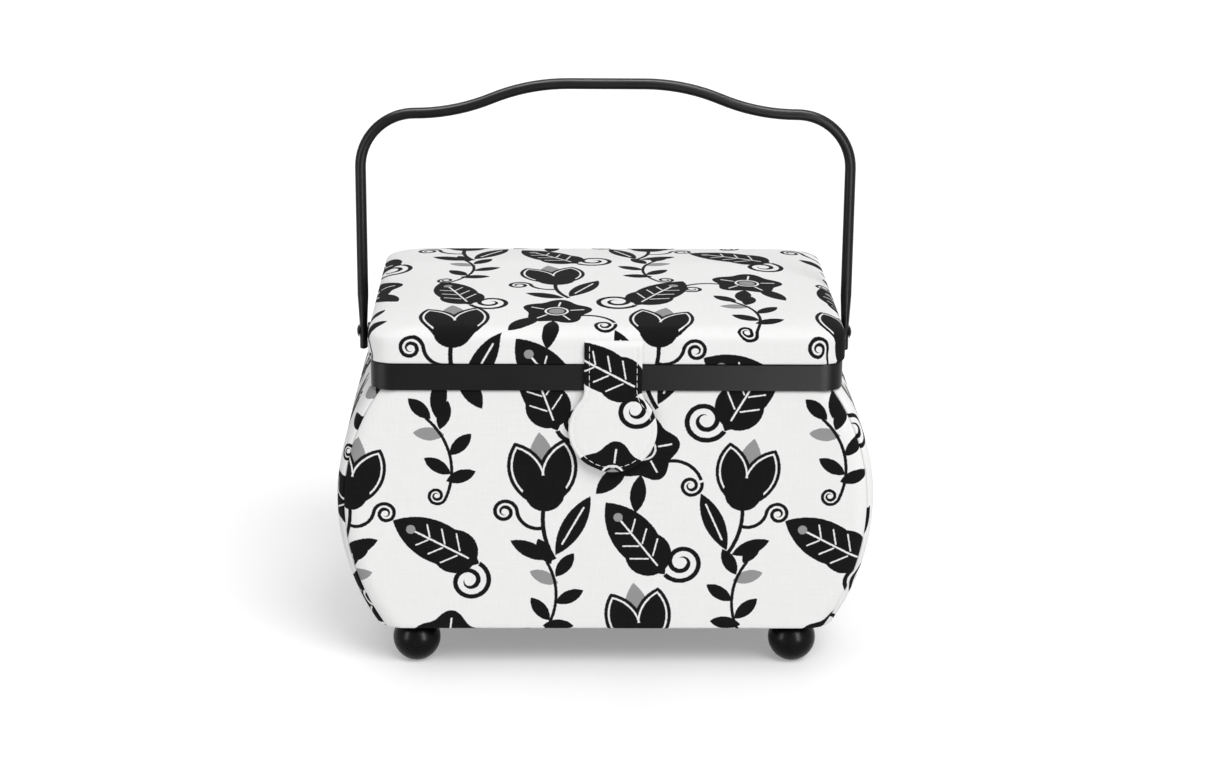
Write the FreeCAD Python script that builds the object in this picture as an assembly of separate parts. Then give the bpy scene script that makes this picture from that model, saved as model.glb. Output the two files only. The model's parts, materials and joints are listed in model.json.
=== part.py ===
import FreeCAD, Part
import math
import os

# A cloth-covered sewing box: a bombe body on ball feet, a padded lid on two butt
# hinges, a carry handle that swings over the lid, and a closing tab with a press stud.
# Frame: millimetres, +Z up, front towards -Y, floor at z = 0, centred on X and Y.

Vec = FreeCAD.Vector

# Body
RIM_LENGTH = 241.0
RIM_DEPTH = 172.0
RIM_HEIGHT = 14.0
RIM_WALL = 2.0
RIM_LIP_HEIGHT = 5.0
RIM_EDGE = 0.8
BAND_PROUD = 1.0
CORE_WALL = 6.0
CORNER_RADIUS = 12.0
WALL_HEIGHT = 130.0
BELLY_LENGTH = 278.0
BELLY_HEIGHT = 67.0
BASE_LENGTH = 238.5
BOARD = 4.0
CLOTH = 1.2
LINING = 1.0
FLOOR_PAD = 3.0
BASE_CLOTH = 0.6
BASE_CLOTH_INSET = 5.0

# Feet
FOOT_DIAMETER = 25.0
FOOT_FLAT = 7.0
FOOT_HEIGHT = 23.4
FOOT_INSET_X = 20.0
FOOT_INSET_Y = 18.0
FOOT_SCREW_DIAMETER = 4.0
FOOT_SCREW_HEAD = 8.0
FOOT_SCREW_DEPTH = 14.0

# Insert tray
TRAY_HEIGHT = 42.0
TRAY_BELOW_RIM = 8.0
TRAY_WALL = 1.8
TRAY_RADIUS = 10.0
TRAY_DRAFT = 2.5
TRAY_LIP = 2.0
TRAY_ROOM = 3.0
TRAY_BACK_ROW = 48.0
TRAY_FRONT_CELLS = 2
TRAY_BACK_CELLS = 3
TRAY_SLOT_LENGTH = 26.0
TRAY_SLOT_HEIGHT = 9.0
TRAY_SLOT_DROP = 5.0
RAIL_LENGTH = 180.0
RAIL_HEIGHT = 7.0
RAIL_BEARING = 4.0

# Lid
LID_HEIGHT = 14.5
LID_WALL = 5.0
LID_BOARD = 3.0
LID_SHOULDER = 4.0
PAD_INSET = 8.0
PAD_RISE = 6.1
PAD_ROLL = 26.0
LID_LINING = 2.0
SOFT_CORNER = 8.0
PINCUSHION_LENGTH = 78.0
PINCUSHION_DEPTH = 50.0
PINCUSHION_RISE = 8.0
PINCUSHION_ROLL = 15.0
PINCUSHION_OFFSET = -58.0
POCKET_LENGTH = 104.0
POCKET_DEPTH = 84.0
POCKET_RISE = 4.5
POCKET_ROLL = 12.0
POCKET_OFFSET = 46.0

# Hinges
HINGE_SPACING = 150.0
HINGE_LENGTH = 24.0
HINGE_LEAF_HEIGHT = 10.0
HINGE_LEAF = 1.0
HINGE_BARREL_DIAMETER = 3.6
HINGE_PIN_DIAMETER = 2.0
HINGE_SCREW_DIAMETER = 2.0
HINGE_SCREW_HEAD = 4.0
HINGE_SCREW_PITCH = 14.0
HINGE_SCREW_DEPTH = 5.0

# Carry handle
HANDLE_BAR = 5.8
HANDLE_RISE = 134.5
HANDLE_CORNER = 29.0
GRIP_LENGTH = 40.0
GRIP_RISE = 16.0
EYE_WIDTH = 9.0
EYE_THICKNESS = 4.2
EYE_TAIL = 9.0
EYE_NECK = 20.0
SPACER_LENGTH = 6.5
SPACER_DIAMETER = 9.0
PIVOT_DIAMETER = 4.0
PIVOT_HEAD_DIAMETER = 7.0
PIVOT_HEAD_HEIGHT = 1.2

# Closing tab
TAB_NECK = 29.4
TAB_PADDLE = 45.2
TAB_FLARE = 9.5
TAB_DROP = 58.0
TAB_THICKNESS = 2.0
TAB_ROOT_HEIGHT = 10.0
TAB_OFFSET = 3.0
STUD_DIAMETER = 11.0
STUD_BASE = 0.9
STUD_KNOB = 4.0
STUD_ABOVE_PADDLE_END = 20.0

# Clearances
REST_GAP = 0.3
SEAT_GAP = 0.1
HOLE_GAP = 0.1
RUNNING_GAP = 0.05
PINNED_GAP = 0.01
KNOB_GAP = 0.4

# Heights and places worked out from the sizes above
z_base = FOOT_HEIGHT + BASE_CLOTH
z_floor = z_base + BOARD
z_belly = z_base + BELLY_HEIGHT
z_rim = z_base + WALL_HEIGHT
z_rim_top = z_rim + RIM_HEIGHT
z_pivot = z_rim + RIM_HEIGHT / 2
z_lid = z_rim_top + REST_GAP
z_lid_board = z_lid + LID_HEIGHT - LID_BOARD
z_lid_top = z_lid + LID_HEIGHT
rim_x = RIM_LENGTH / 2
rim_y = RIM_DEPTH / 2
body_y = rim_y - BAND_PROUD
lid_face_y = rim_y + CLOTH
hinge_y = lid_face_y + REST_GAP + HINGE_BARREL_DIAMETER / 2
hinge_z = z_rim_top + REST_GAP / 2


def arc_radius(across, along):
    """Radius of an arc that starts along a line, moves off it by across in a length of along."""
    return (across ** 2 + along ** 2) / (2 * across)


belly_x = BELLY_LENGTH / 2
neck_x = rim_x - BAND_PROUD
upper_radius = arc_radius(belly_x - neck_x, z_rim - z_belly)
lower_radius = arc_radius(belly_x - BASE_LENGTH / 2, z_belly - z_base)


def box(x0, x1, y0, y1, z0, z1):
    """Block between two corners."""
    return Part.makeBox(x1 - x0, y1 - y0, z1 - z0, Vec(x0, y0, z0))


def slab(z0, z1):
    """Very wide block between two heights, to keep one layer of a shape."""
    reach = BELLY_LENGTH + RIM_DEPTH
    return box(-reach, reach, -reach, reach, z0, z1)


def rod(diameter, start, length, axis):
    """Cylinder from a start point along an axis."""
    return Part.makeCylinder(diameter / 2, length, start, axis)


def rounded_wire(half_x, half_y, radius, z, x=0.0, y=0.0):
    """Rounded rectangle at height z, centred on x, y."""
    a, b = half_x - radius, half_y - radius
    corners = [Vec(x + i * a, y + j * b, z) for i, j in ((-1, -1), (1, -1), (1, 1), (-1, 1), (-1, -1))]
    return Part.makePolygon(corners).makeOffset2D(radius)


def plate(half_x, half_y, radius, z0, z1):
    """Upright rounded plate between two heights."""
    return Part.Face(rounded_wire(half_x, half_y, radius, z0)).extrude(Vec(0, 0, z1 - z0))


def round_top(solid, radius):
    """Round the edges round the highest flat face."""
    top = max(solid.Faces, key=lambda face: face.CenterOfMass.z)
    return solid.makeFillet(radius, top.Edges)


def half_length(z, inset):
    """Half the body's length at height z, inset along the length."""
    radius = upper_radius if z >= z_belly else lower_radius
    reach = math.sqrt(radius ** 2 - (z - z_belly) ** 2)
    return belly_x - inset - radius + math.copysign(reach, radius)


def bombe_outline(inset, z0, z1, y):
    """Front outline of the body between two heights: straight top and base, two arcs each side."""
    heights = [z0, (z0 + z_belly) / 2, z_belly, (z_belly + z1) / 2, z1]
    right = [Vec(half_length(z, inset), y, z) for z in heights]
    left = [Vec(-p.x, y, p.z) for p in right]
    edges = [Part.LineSegment(left[0], right[0]).toShape(),
             Part.Arc(right[0], right[1], right[2]).toShape(),
             Part.Arc(right[2], right[3], right[4]).toShape(),
             Part.LineSegment(right[4], left[4]).toShape(),
             Part.Arc(left[4], left[3], left[2]).toShape(),
             Part.Arc(left[2], left[1], left[0]).toShape()]
    return Part.Wire(edges)


def bombe_prism(inset, half_y, z0, z1):
    """Front outline drawn out from front to back, with sharp corners."""
    return Part.Face(bombe_outline(inset, z0, z1, -half_y)).extrude(Vec(0, 2 * half_y, 0))


def end_strip(inset, radius, quarter, z0, z1):
    """Right end between two heights: its rounded plan at the belly, turned about the end's axis."""
    x1, y1, corner = belly_x - inset, body_y - inset, CORNER_RADIUS - inset
    x0 = x1 - 2 * CORNER_RADIUS
    bend = corner * (1 - math.sqrt(0.5))

    def run(*points):
        curve = Part.Arc if len(points) == 3 else Part.LineSegment
        return curve(*[Vec(x, y, z_belly) for x, y in points]).toShape()

    edges = [run((x0, -y1), (x1 - corner, -y1)),
             run((x1 - corner, -y1), (x1 - bend, bend - y1), (x1, corner - y1)),
             run((x1, corner - y1), (x1, y1 - corner)),
             run((x1, y1 - corner), (x1 - bend, y1 - bend), (x1 - corner, y1)),
             run((x1 - corner, y1), (x0, y1)),
             run((x0, y1), (x0, -y1))]
    turn = math.copysign(quarter, quarter * radius)
    strip = Part.Face(Part.Wire(edges)).revolve(Vec(x1 - radius, 0, z_belly), Vec(0, 1, 0), turn)
    return strip.common(slab(z0, z1))


def bombe_solid(inset):
    """The body's full form, inset from the cloth, with rounded upright corners."""
    core = bombe_prism(inset + CORNER_RADIUS, body_y - inset, z_base, z_rim)
    right = [end_strip(inset, upper_radius, -90, z_belly, z_rim),
             end_strip(inset, lower_radius, 90, z_base, z_belly)]
    left = [strip.mirror(Vec(0, 0, 0), Vec(1, 0, 0)) for strip in right]
    return core.fuse(right + left).removeSplitter()


def on_side(shape, axis, sign):
    """The solids of a shape that lie on one side of the centre."""
    return Part.makeCompound([s for s in shape.Solids if sign * getattr(s.CenterOfMass, axis) > 0])


def body_panels():
    """Flat front and back boards, and bent end boards that take in the rounded corners."""
    board_face = bombe_solid(CLOTH)
    walls = board_face.cut(bombe_solid(CLOTH + BOARD)).common(slab(z_floor, z_rim))
    ends = walls.cut(bombe_prism(CORNER_RADIUS, rim_y, z_floor, z_rim))
    outline = bombe_outline(CORNER_RADIUS + SEAT_GAP, z_floor, z_rim, body_y - CLOTH)
    back = Part.Face(outline).extrude(Vec(0, -BOARD, 0))
    front = back.mirror(Vec(0, 0, 0), Vec(0, 1, 0))
    bottom = board_face.common(slab(z_base, z_floor))
    for start in foot_centres():
        bottom = bottom.cut(rod(FOOT_SCREW_DIAMETER + 2 * HOLE_GAP, start, z_floor, Vec(0, 0, 1)))
        bottom = bottom.cut(screw_head_cone(start, HOLE_GAP))
    return {"front_panel": front, "back_panel": back,
            "left_end_panel": on_side(ends, "x", -1), "right_end_panel": on_side(ends, "x", 1),
            "bottom_board": bottom}


def body_covers():
    """Cloth pieces over the panels, sewn together halfway round the upright corners."""
    cloth = bombe_solid(0.0).cut(bombe_solid(CLOTH)).common(slab(z_base, z_rim - SEAT_GAP))
    seam_inset = CORNER_RADIUS * (1 - math.sqrt(0.5))
    middle = bombe_prism(seam_inset, rim_y, z_base, z_rim)
    back, ends = on_side(cloth.common(middle), "y", 1), cloth.cut(middle)
    front = back.mirror(Vec(0, 0, 0), Vec(0, 1, 0))
    base_x = BASE_LENGTH / 2 - BASE_CLOTH_INSET
    base_y = body_y - BASE_CLOTH_INSET
    base = plate(base_x, base_y, CORNER_RADIUS, FOOT_HEIGHT, z_base)
    for start in foot_centres():
        base = base.cut(rod(FOOT_SCREW_DIAMETER + 2 * HOLE_GAP, start, z_base, Vec(0, 0, 1)))
    return {"front_cover": front, "back_cover": back,
            "left_end_cover": on_side(ends, "x", -1), "right_end_cover": on_side(ends, "x", 1),
            "base_cloth": base}


def body_lining():
    """Thin padded lining of the walls and floor."""
    inside = CLOTH + BOARD + SEAT_GAP
    room = bombe_solid(inside + LINING)
    walls = bombe_solid(inside).cut(room).common(slab(z_floor, z_rim))
    return {"wall_lining": walls, "floor_pad": room.common(slab(z_floor, z_floor + FLOOR_PAD))}


def rim():
    """Wooden core frame on the panels' top edges, and the plastic channel that caps it."""
    z_core_top = z_rim_top - RIM_WALL
    core_out = RIM_WALL + SEAT_GAP
    core_in = core_out + CORE_WALL
    lip_in = core_in + SEAT_GAP + RIM_WALL

    def layer(inset, z0, z1):
        return plate(rim_x - inset, rim_y - inset, max(CORNER_RADIUS - inset, RIM_WALL), z0, z1)

    core = layer(core_out, z_rim, z_core_top).cut(layer(core_in, z_rim, z_core_top))
    band = round_top(layer(0.0, z_rim, z_rim_top), RIM_EDGE)
    band = band.cut(layer(RIM_WALL, z_rim, z_core_top)).cut(layer(lip_in, z_rim, z_rim_top))
    lip = layer(lip_in - RIM_WALL, z_core_top - RIM_LIP_HEIGHT, z_core_top)
    band = band.fuse(lip.cut(layer(lip_in, z_rim, z_rim_top))).removeSplitter()
    holes = pivot_bores(PIVOT_DIAMETER + 2 * HOLE_GAP) + hinge_bores(box_screw_z())
    for hole in holes:
        core, band = core.cut(hole), band.cut(hole)
    return {"rim_core": core, "rim_band": band}


def foot_centres():
    """Points on the floor below the four feet, front left first."""
    foot_x, foot_y = BASE_LENGTH / 2 - FOOT_INSET_X, body_y - FOOT_INSET_Y
    return [Vec(i * foot_x, j * foot_y, 0) for j in (-1, 1) for i in (-1, 1)]


def screw_head_cone(centre, grow):
    """Countersunk head, flush with the top of the bottom board."""
    head, shank = FOOT_SCREW_HEAD / 2 + grow, FOOT_SCREW_DIAMETER / 2 + grow
    depth = (FOOT_SCREW_HEAD - FOOT_SCREW_DIAMETER) / 2
    return Part.makeCone(shank, head, depth, centre + Vec(0, 0, z_floor - depth))


def feet():
    """Turned ball feet with a small flat below, each held by a screw through the bottom board."""
    names = ("foot_front_left", "foot_front_right", "foot_back_left", "foot_back_right")
    radius = FOOT_DIAMETER / 2
    sink = radius - math.sqrt(radius ** 2 - (FOOT_FLAT / 2) ** 2)
    nodes, screws = {}, []
    for name, centre in zip(names, foot_centres()):
        ball = Part.makeSphere(radius, centre + Vec(0, 0, radius - sink)).common(slab(0, FOOT_HEIGHT))
        tip = centre + Vec(0, 0, z_floor - BOARD - FOOT_SCREW_DEPTH)
        bore = rod(FOOT_SCREW_DIAMETER + 2 * HOLE_GAP, tip, FOOT_SCREW_DEPTH, Vec(0, 0, 1))
        nodes[name] = ball.cut(bore)
        shank = rod(FOOT_SCREW_DIAMETER, tip, z_floor - tip.z, Vec(0, 0, 1))
        screws.append(shank.fuse(screw_head_cone(centre, 0.0)).removeSplitter())
    nodes["foot_screws"] = Part.makeCompound(screws)
    return nodes


def mouth():
    """Half length and half depth of the opening inside the rim's lip."""
    reach = 2 * RIM_WALL + CORE_WALL + 2 * SEAT_GAP
    return rim_x - reach, rim_y - reach


def tray():
    """Moulded insert tray with drafted walls, a lip, dividers and a finger slot at each end."""
    mouth_x, mouth_y = mouth()
    top_x, top_y = mouth_x - TRAY_ROOM - TRAY_LIP, mouth_y - TRAY_ROOM - TRAY_LIP
    z1 = z_rim_top - TRAY_BELOW_RIM
    z0 = z1 - TRAY_HEIGHT
    z_deck = z0 + TRAY_WALL

    def draft_form(inset, low):
        taper = TRAY_DRAFT * (z1 - low) / TRAY_HEIGHT
        radius = TRAY_RADIUS - inset
        wires = [rounded_wire(top_x - inset - taper, top_y - inset - taper, radius, low),
                 rounded_wire(top_x - inset, top_y - inset, radius, z1)]
        return Part.makeLoft(wires, True, True)

    room = draft_form(TRAY_WALL, z_deck)
    lip = plate(top_x + TRAY_LIP, top_y + TRAY_LIP, TRAY_RADIUS + TRAY_LIP, z1 - TRAY_WALL, z1)
    split_y = top_y - TRAY_BACK_ROW
    half = TRAY_WALL / 2
    dividers = [box(-top_x, top_x, split_y - half, split_y + half, z_deck, z1)]
    rows = ((TRAY_FRONT_CELLS, -top_y, split_y), (TRAY_BACK_CELLS, split_y, top_y))
    for cells, y0, y1 in rows:
        for step in range(1, cells):
            x = -top_x + 2 * top_x * step / cells
            dividers.append(box(x - half, x + half, y0, y1, z_deck, z1))
    shell = draft_form(0.0, z0).fuse(lip).cut(room)
    body = shell.fuse([wall.common(room) for wall in dividers]).removeSplitter()
    z_slot = z1 - TRAY_SLOT_DROP - TRAY_SLOT_HEIGHT / 2
    straight = (TRAY_SLOT_LENGTH - TRAY_SLOT_HEIGHT) / 2
    inner_x = top_x - TRAY_DRAFT - 2 * TRAY_WALL
    for x0, x1 in ((-top_x, -inner_x), (inner_x, top_x)):
        rounds = [rod(TRAY_SLOT_HEIGHT, Vec(x0, y, z_slot), x1 - x0, Vec(1, 0, 0))
                  for y in (-straight, straight)]
        middle = box(x0, x1, -straight, straight, z_slot - TRAY_SLOT_HEIGHT / 2,
                     z_slot + TRAY_SLOT_HEIGHT / 2)
        body = body.cut(middle.fuse(rounds))
    seat_y = body_y - CLOTH - BOARD - SEAT_GAP - LINING
    rail_in = top_y - TRAY_DRAFT - RAIL_BEARING
    back_rail = box(-RAIL_LENGTH / 2, RAIL_LENGTH / 2, rail_in, seat_y, z0 - RAIL_HEIGHT, z0)
    return {"insert_tray": body, "back_tray_rail": back_rail,
            "front_tray_rail": back_rail.mirror(Vec(0, 0, 0), Vec(0, 1, 0))}


def crowned_form(half_x, half_y, radius, z, rise, roll, x=0.0):
    """Padded form on a flat seat: sides drawn in at the seat, rolled shoulders and a crown."""
    sections = ((0.03, 0.0), (0.0, 0.2), (0.02, 0.4), (0.08, 0.6), (0.18, 0.75), (0.33, 0.87), (0.55, 0.95),
                (1.0, 1.0))
    wires = [rounded_wire(half_x - roll * i, half_y - roll * i, radius, z + rise * up, x)
             for i, up in sections]
    return Part.makeLoft(wires, True, True)


def lid():
    """Wooden lid frame and board, foam pad, printed cover, lining, pincushion and pocket."""
    wall_x, wall_y = rim_x - LID_WALL, rim_y - LID_WALL
    frame = plate(rim_x, rim_y, CORNER_RADIUS, z_lid, z_lid_board)
    frame = frame.cut(plate(wall_x, wall_y, CORNER_RADIUS - LID_WALL, z_lid, z_lid_board))
    top = round_top(plate(rim_x, rim_y, CORNER_RADIUS, z_lid_board, z_lid_top), LID_SHOULDER - CLOTH)
    pad_x, pad_y, pad_radius = rim_x - PAD_INSET, rim_y - PAD_INSET, CORNER_RADIUS
    pad = crowned_form(pad_x, pad_y, pad_radius, z_lid_top, PAD_RISE, PAD_ROLL)
    skin = round_top(plate(rim_x + CLOTH, rim_y + CLOTH, CORNER_RADIUS + CLOTH, z_lid, z_lid_top + CLOTH),
                     LID_SHOULDER)
    puff = crowned_form(pad_x + CLOTH, pad_y + CLOTH, pad_radius + CLOTH, z_lid_top,
                        PAD_RISE + CLOTH, PAD_ROLL)
    core = plate(rim_x, rim_y, CORNER_RADIUS, z_lid, z_lid_board).fuse([top, pad])
    cover = skin.fuse(puff).cut(core)
    z_lining = z_lid_board - LID_LINING
    lining = plate(wall_x - SEAT_GAP, wall_y - SEAT_GAP, CORNER_RADIUS - LID_WALL, z_lining, z_lid_board)
    pincushion = crowned_form(PINCUSHION_LENGTH / 2, PINCUSHION_DEPTH / 2, SOFT_CORNER,
                              z_lining, -PINCUSHION_RISE, PINCUSHION_ROLL, PINCUSHION_OFFSET)
    pocket = crowned_form(POCKET_LENGTH / 2, POCKET_DEPTH / 2, SOFT_CORNER,
                          z_lining, -POCKET_RISE, POCKET_ROLL, POCKET_OFFSET)
    for hole in hinge_bores(lid_screw_z()):
        frame, cover = frame.cut(hole), cover.cut(hole)
    return {"lid_frame": frame, "lid_board": top, "lid_pad": pad, "lid_cover": cover,
            "lid_lining": lining, "pincushion": pincushion, "lid_pocket": pocket}


def box_screw_z():
    return hinge_z - HINGE_BARREL_DIAMETER / 2 - HINGE_LEAF_HEIGHT / 2


def lid_screw_z():
    return hinge_z + HINGE_BARREL_DIAMETER / 2 + HINGE_LEAF_HEIGHT / 2


def hinge_centres():
    return (-HINGE_SPACING / 2, HINGE_SPACING / 2)


def hinge_screw_points(z):
    """Centres of the screws along one row of leaves, left to right."""
    offsets = (-HINGE_SCREW_PITCH / 2, HINGE_SCREW_PITCH / 2)
    return [Vec(x + dx, 0, z) for x in hinge_centres() for dx in offsets]


def hinge_bores(z):
    """Screw holes for one row of leaves, from outside the back to the screws' tips."""
    tip = rim_y - HINGE_SCREW_DEPTH
    return [rod(HINGE_SCREW_DIAMETER + 2 * HOLE_GAP, Vec(p.x, tip, z), hinge_y - tip, Vec(0, 1, 0))
            for p in hinge_screw_points(z)]


def leaf(x, face_y, way, z_screw, spans, bore):
    """Hinge leaf: a plate on a back face, an arm to the axis and knuckles over the given spans."""
    z_edge = hinge_z + way * HINGE_BARREL_DIAMETER / 2
    z_far = z_edge + way * HINGE_LEAF_HEIGHT
    half = HINGE_LENGTH / 2
    solid = box(x - half, x + half, face_y, face_y + HINGE_LEAF, min(z_edge, z_far), max(z_edge, z_far))
    z_arm = z_edge - way * HINGE_LEAF
    for a, b in spans:
        arm = box(x + a, x + b, face_y, hinge_y, min(z_edge, z_arm), max(z_edge, z_arm))
        knuckle = rod(HINGE_BARREL_DIAMETER, Vec(x + a, hinge_y, hinge_z), b - a, Vec(1, 0, 0))
        solid = solid.fuse([arm, knuckle])
    solid = solid.removeSplitter()
    solid = solid.cut(rod(bore, Vec(x - half, hinge_y, hinge_z), 2 * half, Vec(1, 0, 0)))
    for hole in hinge_bores(z_screw):
        solid = solid.cut(hole)
    return solid


def hinges():
    """Two butt hinges: outer knuckles on the box leaf, the middle one on the lid leaf."""
    third = HINGE_LENGTH / 3
    inner = third / 2 - REST_GAP / 2
    outer = third / 2 + REST_GAP / 2
    half = HINGE_LENGTH / 2
    nodes = {}
    for side, x in zip(("left", "right"), hinge_centres()):
        nodes[side + "_hinge_box_leaf"] = leaf(x, rim_y, -1, box_screw_z(), ((-half, -outer), (outer, half)),
                                               HINGE_PIN_DIAMETER + 2 * PINNED_GAP)
        nodes[side + "_hinge_lid_leaf"] = leaf(x, lid_face_y, 1, lid_screw_z(), ((-inner, inner),),
                                               HINGE_PIN_DIAMETER + 2 * RUNNING_GAP)
        nodes[side + "_hinge_pin"] = rod(HINGE_PIN_DIAMETER, Vec(x - half, hinge_y, hinge_z), 2 * half,
                                         Vec(1, 0, 0))
    rows = (("box_hinge_screws", rim_y, box_screw_z()), ("lid_hinge_screws", lid_face_y, lid_screw_z()))
    for name, face_y, z in rows:
        nodes[name] = Part.makeCompound([hinge_screw(p.x, face_y + HINGE_LEAF, z)
                                         for p in hinge_screw_points(z)])
    return nodes


def hinge_screw(x, seat_y, z):
    """Round-headed screw with its head on a leaf."""
    tip = rim_y - HINGE_SCREW_DEPTH
    shank = rod(HINGE_SCREW_DIAMETER, Vec(x, tip, z), seat_y - tip, Vec(0, 1, 0))
    rise = HINGE_SCREW_HEAD / 4
    radius = arc_radius(rise, HINGE_SCREW_HEAD / 2)
    ball = Part.makeSphere(radius, Vec(x, seat_y + rise - radius, z))
    head = ball.common(box(x - radius, x + radius, seat_y, seat_y + rise, z - radius, z + radius))
    return shank.fuse(head).removeSplitter()


eye_x = rim_x + SPACER_LENGTH + REST_GAP + EYE_THICKNESS / 2


def pivot_bores(diameter):
    """Bores on the handle's axis through both ends, from the screws' tips outwards."""
    tip = rim_x - RIM_WALL - CORE_WALL
    return [rod(diameter, Vec(side * tip, 0, z_pivot), rim_x, Vec(side, 0, 0)) for side in (-1, 1)]


def handle_path(z_end):
    """Centre line of the bar from the left leg's end to the right leg's end, in tangent runs."""
    z_grip = z_pivot + HANDLE_RISE
    z_shoulder = z_grip - GRIP_RISE
    grip_x, corner_x = GRIP_LENGTH / 2, eye_x - HANDLE_CORNER
    run = corner_x - grip_x
    turn = 2 * math.atan2(GRIP_RISE, run)
    radius = run / (2 * math.sin(turn))
    dip = Vec(radius * math.sin(turn / 2), 0, -radius * (1 - math.cos(turn / 2)))
    bend = HANDLE_CORNER * math.sqrt(0.5)
    grip, foot = Vec(grip_x, 0, z_grip), Vec(corner_x, 0, z_shoulder)
    middle = (grip + foot) * 0.5
    corner = Vec(corner_x, 0, z_shoulder - HANDLE_CORNER)
    leg = corner + Vec(HANDLE_CORNER, 0, 0)
    arcs = [(grip, grip + dip, middle), (middle, foot - dip, foot),
            (foot, corner + Vec(bend, 0, bend), leg)]
    right_leg = Part.LineSegment(leg, Vec(eye_x, 0, z_end)).toShape()

    def flip(p):
        return Vec(-p.x, p.y, p.z)

    left = [Part.Arc(flip(c), flip(b), flip(a)).toShape() for a, b, c in reversed(arcs)]
    right = [Part.Arc(a, b, c).toShape() for a, b, c in arcs]
    left_leg = Part.LineSegment(Vec(-eye_x, 0, z_end), flip(leg)).toShape()
    grip_line = Part.LineSegment(flip(grip), grip).toShape()
    return Part.Wire([left_leg] + left + [grip_line] + right + [right_leg])


def oval(x, z, half_x, half_y):
    """Level oval about a point on the handle's plane."""
    long_end, side = Vec(x, half_y, z), Vec(x + half_x, 0, z)
    return Part.Wire(Part.Ellipse(long_end, side, Vec(x, 0, z)).toShape())


def handle():
    """Bent round bar whose ends are pressed to flat ovals and cut square below the pivots."""
    z_neck, z_tail = z_pivot + EYE_NECK, z_pivot - EYE_TAIL
    radius, length = HANDLE_BAR / 2, EYE_TAIL + EYE_WIDTH / 2
    start = Part.Wire(Part.makeCircle(radius, Vec(-eye_x, 0, z_neck), Vec(0, 0, 1)))
    bar = handle_path(z_neck).makePipeShell([start], True, False)
    ends = []
    for side in (-1, 1):
        x = side * eye_x
        flat = oval(x, z_tail, EYE_THICKNESS / 2, EYE_WIDTH / 2)
        eye = Part.Face(flat).extrude(Vec(0, 0, length))
        flat.translate(Vec(0, 0, length))
        ring = Part.Wire(Part.makeCircle(radius, Vec(x, 0, z_neck), Vec(0, 0, 1)))
        ring.rotate(Vec(x, 0, z_neck), Vec(0, 0, 1), 90)
        neck = Part.makeLoft([flat, ring], True, True)
        ends += [eye, neck]
    bar = bar.fuse(ends).removeSplitter()
    for bore in pivot_bores(PIVOT_DIAMETER + 2 * RUNNING_GAP):
        bar = bar.cut(bore)
    return {"handle": bar}


def pivots():
    """Spacer and domed screw at each end of the handle."""
    nodes = {}
    seat = eye_x + EYE_THICKNESS / 2 + REST_GAP
    tip = rim_x - RIM_WALL - CORE_WALL
    shank = rod(PIVOT_DIAMETER, Vec(tip, 0, z_pivot), seat - tip, Vec(1, 0, 0))
    radius = arc_radius(PIVOT_HEAD_HEIGHT, PIVOT_HEAD_DIAMETER / 2)
    dome = Part.makeSphere(radius, Vec(seat + PIVOT_HEAD_HEIGHT - radius, 0, z_pivot))
    reach = 2 * radius
    head = dome.common(box(seat, seat + reach, -reach, reach, z_pivot - reach, z_pivot + reach))
    screw = shank.fuse(head).removeSplitter()
    spacer = rod(SPACER_DIAMETER, Vec(rim_x, 0, z_pivot), SPACER_LENGTH, Vec(1, 0, 0))
    spacer = spacer.cut(pivot_bores(PIVOT_DIAMETER + 2 * HOLE_GAP)[1])
    for name, piece in (("pivot_screw", screw), ("pivot_spacer", spacer)):
        nodes["right_" + name] = piece
        nodes["left_" + name] = piece.mirror(Vec(0, 0, 0), Vec(1, 0, 0))
    return nodes


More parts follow.
